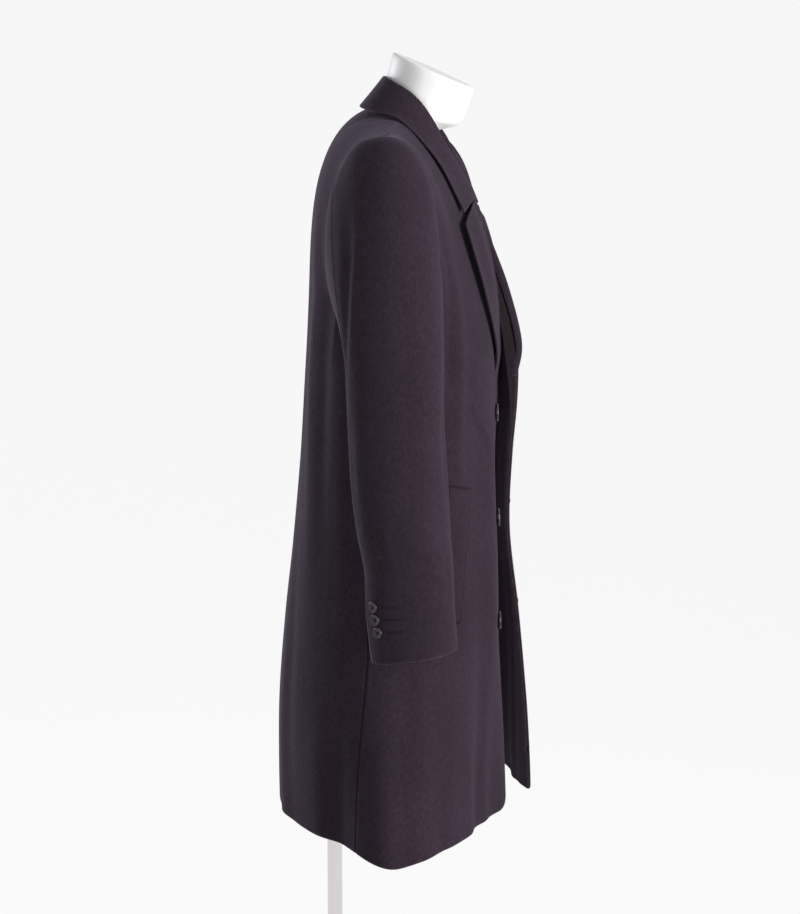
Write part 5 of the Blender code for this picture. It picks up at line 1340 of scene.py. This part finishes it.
def horn_finish():
    """Polished dark horn: brown and grey streaks through near black, a clear gloss, fine wear."""
    made, tree, shader = finish("dark_horn", Specular_IOR_Level=0.32, Specular_Tint=(1.0, 0.86, 0.90, 1.0))
    here = node(tree, "TexCoord").outputs["Object"]
    streaks = node(tree, "TexNoise", {"Scale": 320.0, "Detail": 5.0, "Distortion": 1.6}, Vector=here)
    toned(tree, shader, streaks.outputs["Fac"], (0.006, 0.005, 0.006), (0.042, 0.032, 0.034), 0.38, 0.68)
    glossed(tree, shader, streaks.outputs["Fac"], 0.12, 0.28)
    dented(tree, shader, streaks.outputs["Fac"], 0.6, 0.00008)
    return made


def thread_finish():
    """Twisted navy sewing thread: fine slanting bands of light and shade along each strand."""
    made, tree, shader = finish("navy_thread", Roughness=0.8, Specular_IOR_Level=0.1)
    here = node(tree, "TexCoord").outputs["Object"]
    twist = node(tree, "TexWave", {"Scale": 900.0, "Distortion": 1.5}, Vector=here)
    toned(tree, shader, twist.outputs["Fac"], (0.007, 0.005, 0.008), (0.022, 0.017, 0.024))
    dented(tree, shader, twist.outputs["Fac"], 1.0, 0.0001)
    return made


def strands(name, point, normal, radius, face):
    """Two parallel runs of thread over a button, each an arch between two holes."""
    axis = unit(np.asarray(normal, float))
    right = unit(np.cross(axis, (0.0, 0.0, 1.0)))
    top = np.cross(right, axis)
    offset = HOLE_AT * radius * np.sqrt(0.5)
    t = np.linspace(0, 1, 17)[:, None]
    points, faces = [], []
    for way in (-1, 1):
        for beside in (-0.5 * THREADS_APART, 0.5 * THREADS_APART):
            path = (np.asarray(point) + top * way * offset + top * beside
                    + right * offset * (2 * t - 1) * THREAD_REACH
                    + axis * (face + THREAD_ARCH * np.sin(np.pi * t) ** 0.6 - THREAD_SINK))
            ring, face_list = tube(path, THREAD)
            faces += [[k + sum(map(len, points)) for k in f] for f in face_list]
            points.append(ring)
    return tidy_mesh(name, np.concatenate(points), faces)


dark_horn, navy_thread = horn_finish(), thread_finish()
seats = []
for k, height in enumerate(FRONT_BUTTON_HEIGHTS):
    point, normal = on_front(np.array(EDGE_OUT + FRONT_BUTTON_INSET), np.array(height), RIGHT)
    seats.append(("button_front_%d" % (k + 1), FRONT_BUTTON, point, normal))


def cuff_seat(rise, side):
    """Point and outward normal of a cuff button, its height above the cuff's edge given."""
    biceps, cuff = SLEEVE[0][0], SLEEVE[-1][0]
    down = np.array([1 + (cuff + rise - biceps) / (cuff - biceps)])
    angle, step = back_seam_angle(down) + CUFF_BUTTON_TURN, 0.01
    round_arm = sleeve_point(angle + 2.0, down, side)[0] - sleeve_point(angle - 2.0, down, side)[0]
    down_arm = sleeve_point(angle, down + step, side)[0] - sleeve_point(angle, down - step, side)[0]
    return sleeve_point(angle, down, side)[0], np.cross(round_arm, down_arm) * side, angle, down


for side, word in SIDES:
    for k, rise in enumerate(CUFF_BUTTON_RISES):
        point, normal = cuff_seat(rise, side)[:2]
        seats.append(("button_cuff_%s_%d" % (word, k + 1), CUFF_BUTTON, point, normal))

for name, size, point, normal in seats:
    added(name + "_horn", button_mesh(name, size, point, normal), dark_horn, node=name)
    face = size[1] - size[2] + BUTTON_SEAT
    added(name + "_thread", strands(name + "_thread", point, normal, size[0], face), navy_thread)


# ---------------------------------------------------------------- buttonholes
# Worked by machine in navy thread: a keyhole for each front button across the left front, and
# a short blind one ahead of each cuff button. The stitches stand up as a ridge round the slit.
HOLE_LONG, HOLE_EYE, HOLE_HALF, HOLE_FROM_EDGE = 0.028, 0.0022, 0.0011, 0.014
CUFF_HOLE_LONG, CUFF_HOLE_EYE, CUFF_HOLE_HALF, CUFF_HOLE_AHEAD = 0.020, 0.0011, 0.0009, 0.0115
STITCH_RADIUS, STITCH_PITCH, STITCH_LIFT = 0.00046, 0.00065, 0.0003     # the strand's middle above the cloth


def stitched_ring(name, surface, length, eye, half):
    """Strand that runs round a slit, swelling at every stitch. surface(x, y) gives points on the
    cloth for metres along and across the slit, x from 0 to length. One end is a round eye."""
    t = np.linspace(0, 2 * np.pi, 721)
    x = 0.5 * length * (1 - np.cos(t))
    wide = half + (eye - half) * np.exp(-((x - (length - eye)) / (1.3 * eye)) ** 2)
    y = wide * np.sign(np.sin(t)) * np.abs(np.sin(t)) ** 0.25
    steps = np.concatenate([[0], np.cumsum(np.hypot(np.diff(x), np.diff(y)))])
    even = np.linspace(0, steps[-1], int(steps[-1] / STITCH_PITCH * 5))
    path = surface(np.interp(even, steps, x), np.interp(even, steps, y))
    swell = STITCH_RADIUS * (0.72 + 0.28 * np.abs(np.sin(np.pi * even / STITCH_PITCH)))
    return tidy_mesh(name, *tube(path, swell, 7))


def on_left_front(height):
    """Surface for a buttonhole that runs level from near the left front's edge."""
    def surface(x, y):
        points, normals = on_front(EDGE_OUT + HOLE_FROM_EDGE + HOLE_LONG - x, height + y, LEFT)
        return points + normals * STITCH_LIFT
    return surface


def on_cuff(rise, side):
    """Surface for a blind buttonhole that runs forward from beside a cuff button."""
    at, normal, angle, down = cuff_seat(rise, side)
    biceps, cuff = SLEEVE[0][0], SLEEVE[-1][0]
    per_degree = np.linalg.norm(sleeve_point(angle + 8, down, side)[0] - at) / 8

    def surface(x, y):
        turn = angle + (CUFF_HOLE_AHEAD + CUFF_HOLE_LONG - x) / per_degree
        low = down + y / (cuff - biceps)
        return sleeve_point(turn, low, side) + unit(np.asarray(normal)) * STITCH_LIFT
    return surface


for k, height in enumerate(FRONT_BUTTON_HEIGHTS):
    name = "buttonhole_front_%d" % (k + 1)
    added(name, stitched_ring(name, on_left_front(height), HOLE_LONG, HOLE_EYE, HOLE_HALF),
          navy_thread)
for side, word in SIDES:
    for k, rise in enumerate(CUFF_BUTTON_RISES):
        name = "buttonhole_cuff_%s_%d" % (word, k + 1)
        added(name, stitched_ring(name, on_cuff(rise, side), CUFF_HOLE_LONG, CUFF_HOLE_EYE, CUFF_HOLE_HALF),
              navy_thread)


# ---------------------------------------------------------------- dress form
# A limbless torso with a leaning neck, moulded as a smooth shell and sprayed satin white. Its
# shoulders carry the coat, and its flat underside takes the pole.
# rings of the form from the hip to the neck's flat top: height, forward, half_depth, half_width, square, tilt
FORM = (
    (0.8000, 0.0660, 0.0940, 0.1460, 2.20, 0.0),
    (0.8150, 0.0660, 0.0990, 0.1510, 2.20, 0.0),
    (0.9000, 0.0680, 0.1010, 0.1560, 2.20, 0.0),
    (1.0200, 0.0860, 0.0960, 0.1480, 2.20, 0.0),
    (1.1500, 0.0980, 0.1020, 0.1620, 2.20, 0.0),
    (1.2600, 0.0980, 0.0960, 0.1740, 2.20, 0.0),
    (1.3400, 0.0960, 0.0780, 0.1800, 2.10, 0.0),
    (1.3900, 0.0970, 0.0636, 0.1897, 1.80, 0.0),
    (1.4200, 0.1010, 0.0528, 0.1809, 1.50, 0.0),
    (1.4365, 0.1040, 0.0463, 0.1591, 1.30, 0.0),
    (1.4475, 0.1050, 0.0440, 0.1134, 1.30, 3.0),
    (1.4570, 0.1115, 0.0510, 0.0780, 1.60, 9.0),
    (1.4720, 0.1260, 0.0570, 0.0640, 2.00, 17.0),
    (1.4980, 0.1362, 0.0605, 0.0600, 2.00, 23.0),
    (1.5250, 0.1442, 0.0612, 0.0600, 2.00, 24.0),
    (1.5290, 0.1458, 0.0590, 0.0575, 2.00, 24.0),
)
FORM_AROUND, FORM_FINER, SHELL_EDGE = 128, 7, 38.0     # beyond 38 degrees an edge is sharp


def form_surface(rows, angles):
    """Ring for each row: an oval whose squareness, centre and tilt come from the row."""
    height, forward, half_depth, half_width, square, tilt = (rows[:, k:k + 1] for k in range(6))
    sine, cosine = np.sin(angles), np.cos(angles)
    across = half_width * np.sign(cosine) * np.abs(cosine) ** (2.0 / square)
    ahead = half_depth * np.sign(sine) * np.abs(sine) ** (2.0 / square)
    lean = np.radians(tilt)
    return place(across, forward + ahead * np.cos(lean), height - ahead * np.sin(lean))


def closed_rings(name, rings):
    """Closed surface through rings of points, with a fan of faces over each end."""
    count, sides = rings.shape[:2]
    points = np.concatenate([rings.reshape(-1, 3), rings[[0, -1]].mean(axis=1)])
    number, faces = ring_faces(count, sides)
    faces += [[a, b, count * sides] for a, b in zip(number[0], np.roll(number[0], -1))]
    faces += [[b, a, count * sides + 1] for a, b in zip(number[-1], np.roll(number[-1], -1))]
    return tidy_mesh(name, points, faces)


def shell_finish():
    """Sprayed satin white: the faintest unevenness of gloss and tone, and a fine orange peel."""
    made, tree, shader = finish("satin_white")
    here = node(tree, "TexCoord").outputs["Object"]
    cloud, peel = (node(tree, "TexNoise", {"Scale": scale}, Vector=here).outputs["Fac"]
                   for scale in (7.0, 420.0))
    toned(tree, shader, cloud, (0.70, 0.695, 0.69), (0.76, 0.76, 0.76))
    glossed(tree, shader, cloud, 0.34, 0.48)
    dented(tree, shader, peel, 0.3, 0.0001)
    return made


rows = np.asarray(FORM, float)
rows = spline(rows[:, None, :], np.linspace(0, len(rows) - 1, (len(rows) - 1) * FORM_FINER + 1))[:, 0]
rings = form_surface(rows, np.linspace(0, 2 * np.pi, FORM_AROUND, endpoint=False))
shell = added("form_shell", closed_rings("form_shell", rings), shell_finish(), node="form_body")
shell.data.set_sharp_from_angle(angle=np.radians(SHELL_EDGE))


# ---------------------------------------------------------------- stand
# A chromed steel tube rises from a thin round base of the same metal to the torso's underside.
POLE_RADIUS, POLE_RINGS = 0.011, (0.25, 0.5)
BASE_CROWN = 0.014                      # height of the base round the pole
# section of the base from its underside over the rounded rim to the crown: out, height
BASE_SECTION = ((0.189, 0.0), (0.190, 0.001), (0.190, 0.005), (0.1894, 0.006), (0.188, 0.0074),
                (0.186, 0.008), (0.120, 0.0112), (0.060, 0.0132), (0.030, BASE_CROWN), (0.018, BASE_CROWN))
STAND_AROUND = 128


def turned_rings(profile):
    """Rings of a turned solid, from (radius, height) pairs, foot first."""
    radius, height = np.asarray(profile, float).T[:, :, None]
    angles = np.linspace(0, 2 * np.pi, STAND_AROUND, endpoint=False)
    return place(radius * np.cos(angles), radius * np.sin(angles), height)


def chrome_finish(name, roughness):
    """Polished chrome with faint wipe marks in its gloss."""
    made, tree, shader = finish(name, Base_Color=(0.68, 0.65, 0.66, 1.0), Metallic=1.0)
    here = node(tree, "TexCoord").outputs["Object"]
    wipes = node(tree, "TexNoise", {"Scale": 30.0, "Detail": 4.0}, Vector=here).outputs["Fac"]
    glossed(tree, shader, wipes, 0.6 * roughness, 1.5 * roughness)
    return made


chrome = chrome_finish("polished_chrome", 0.12)
added("stand_base_chrome", closed_rings("stand_base_chrome", turned_rings(BASE_SECTION)), chrome,
      node="stand_base")
pole_heights = (BASE_CROWN + GAP, *POLE_RINGS, FORM[0][0] - GAP)
pole = turned_rings([(POLE_RADIUS, height) for height in pole_heights])
added("stand_pole_chrome", closed_rings("stand_pole_chrome", pole), chrome, node="stand_pole")
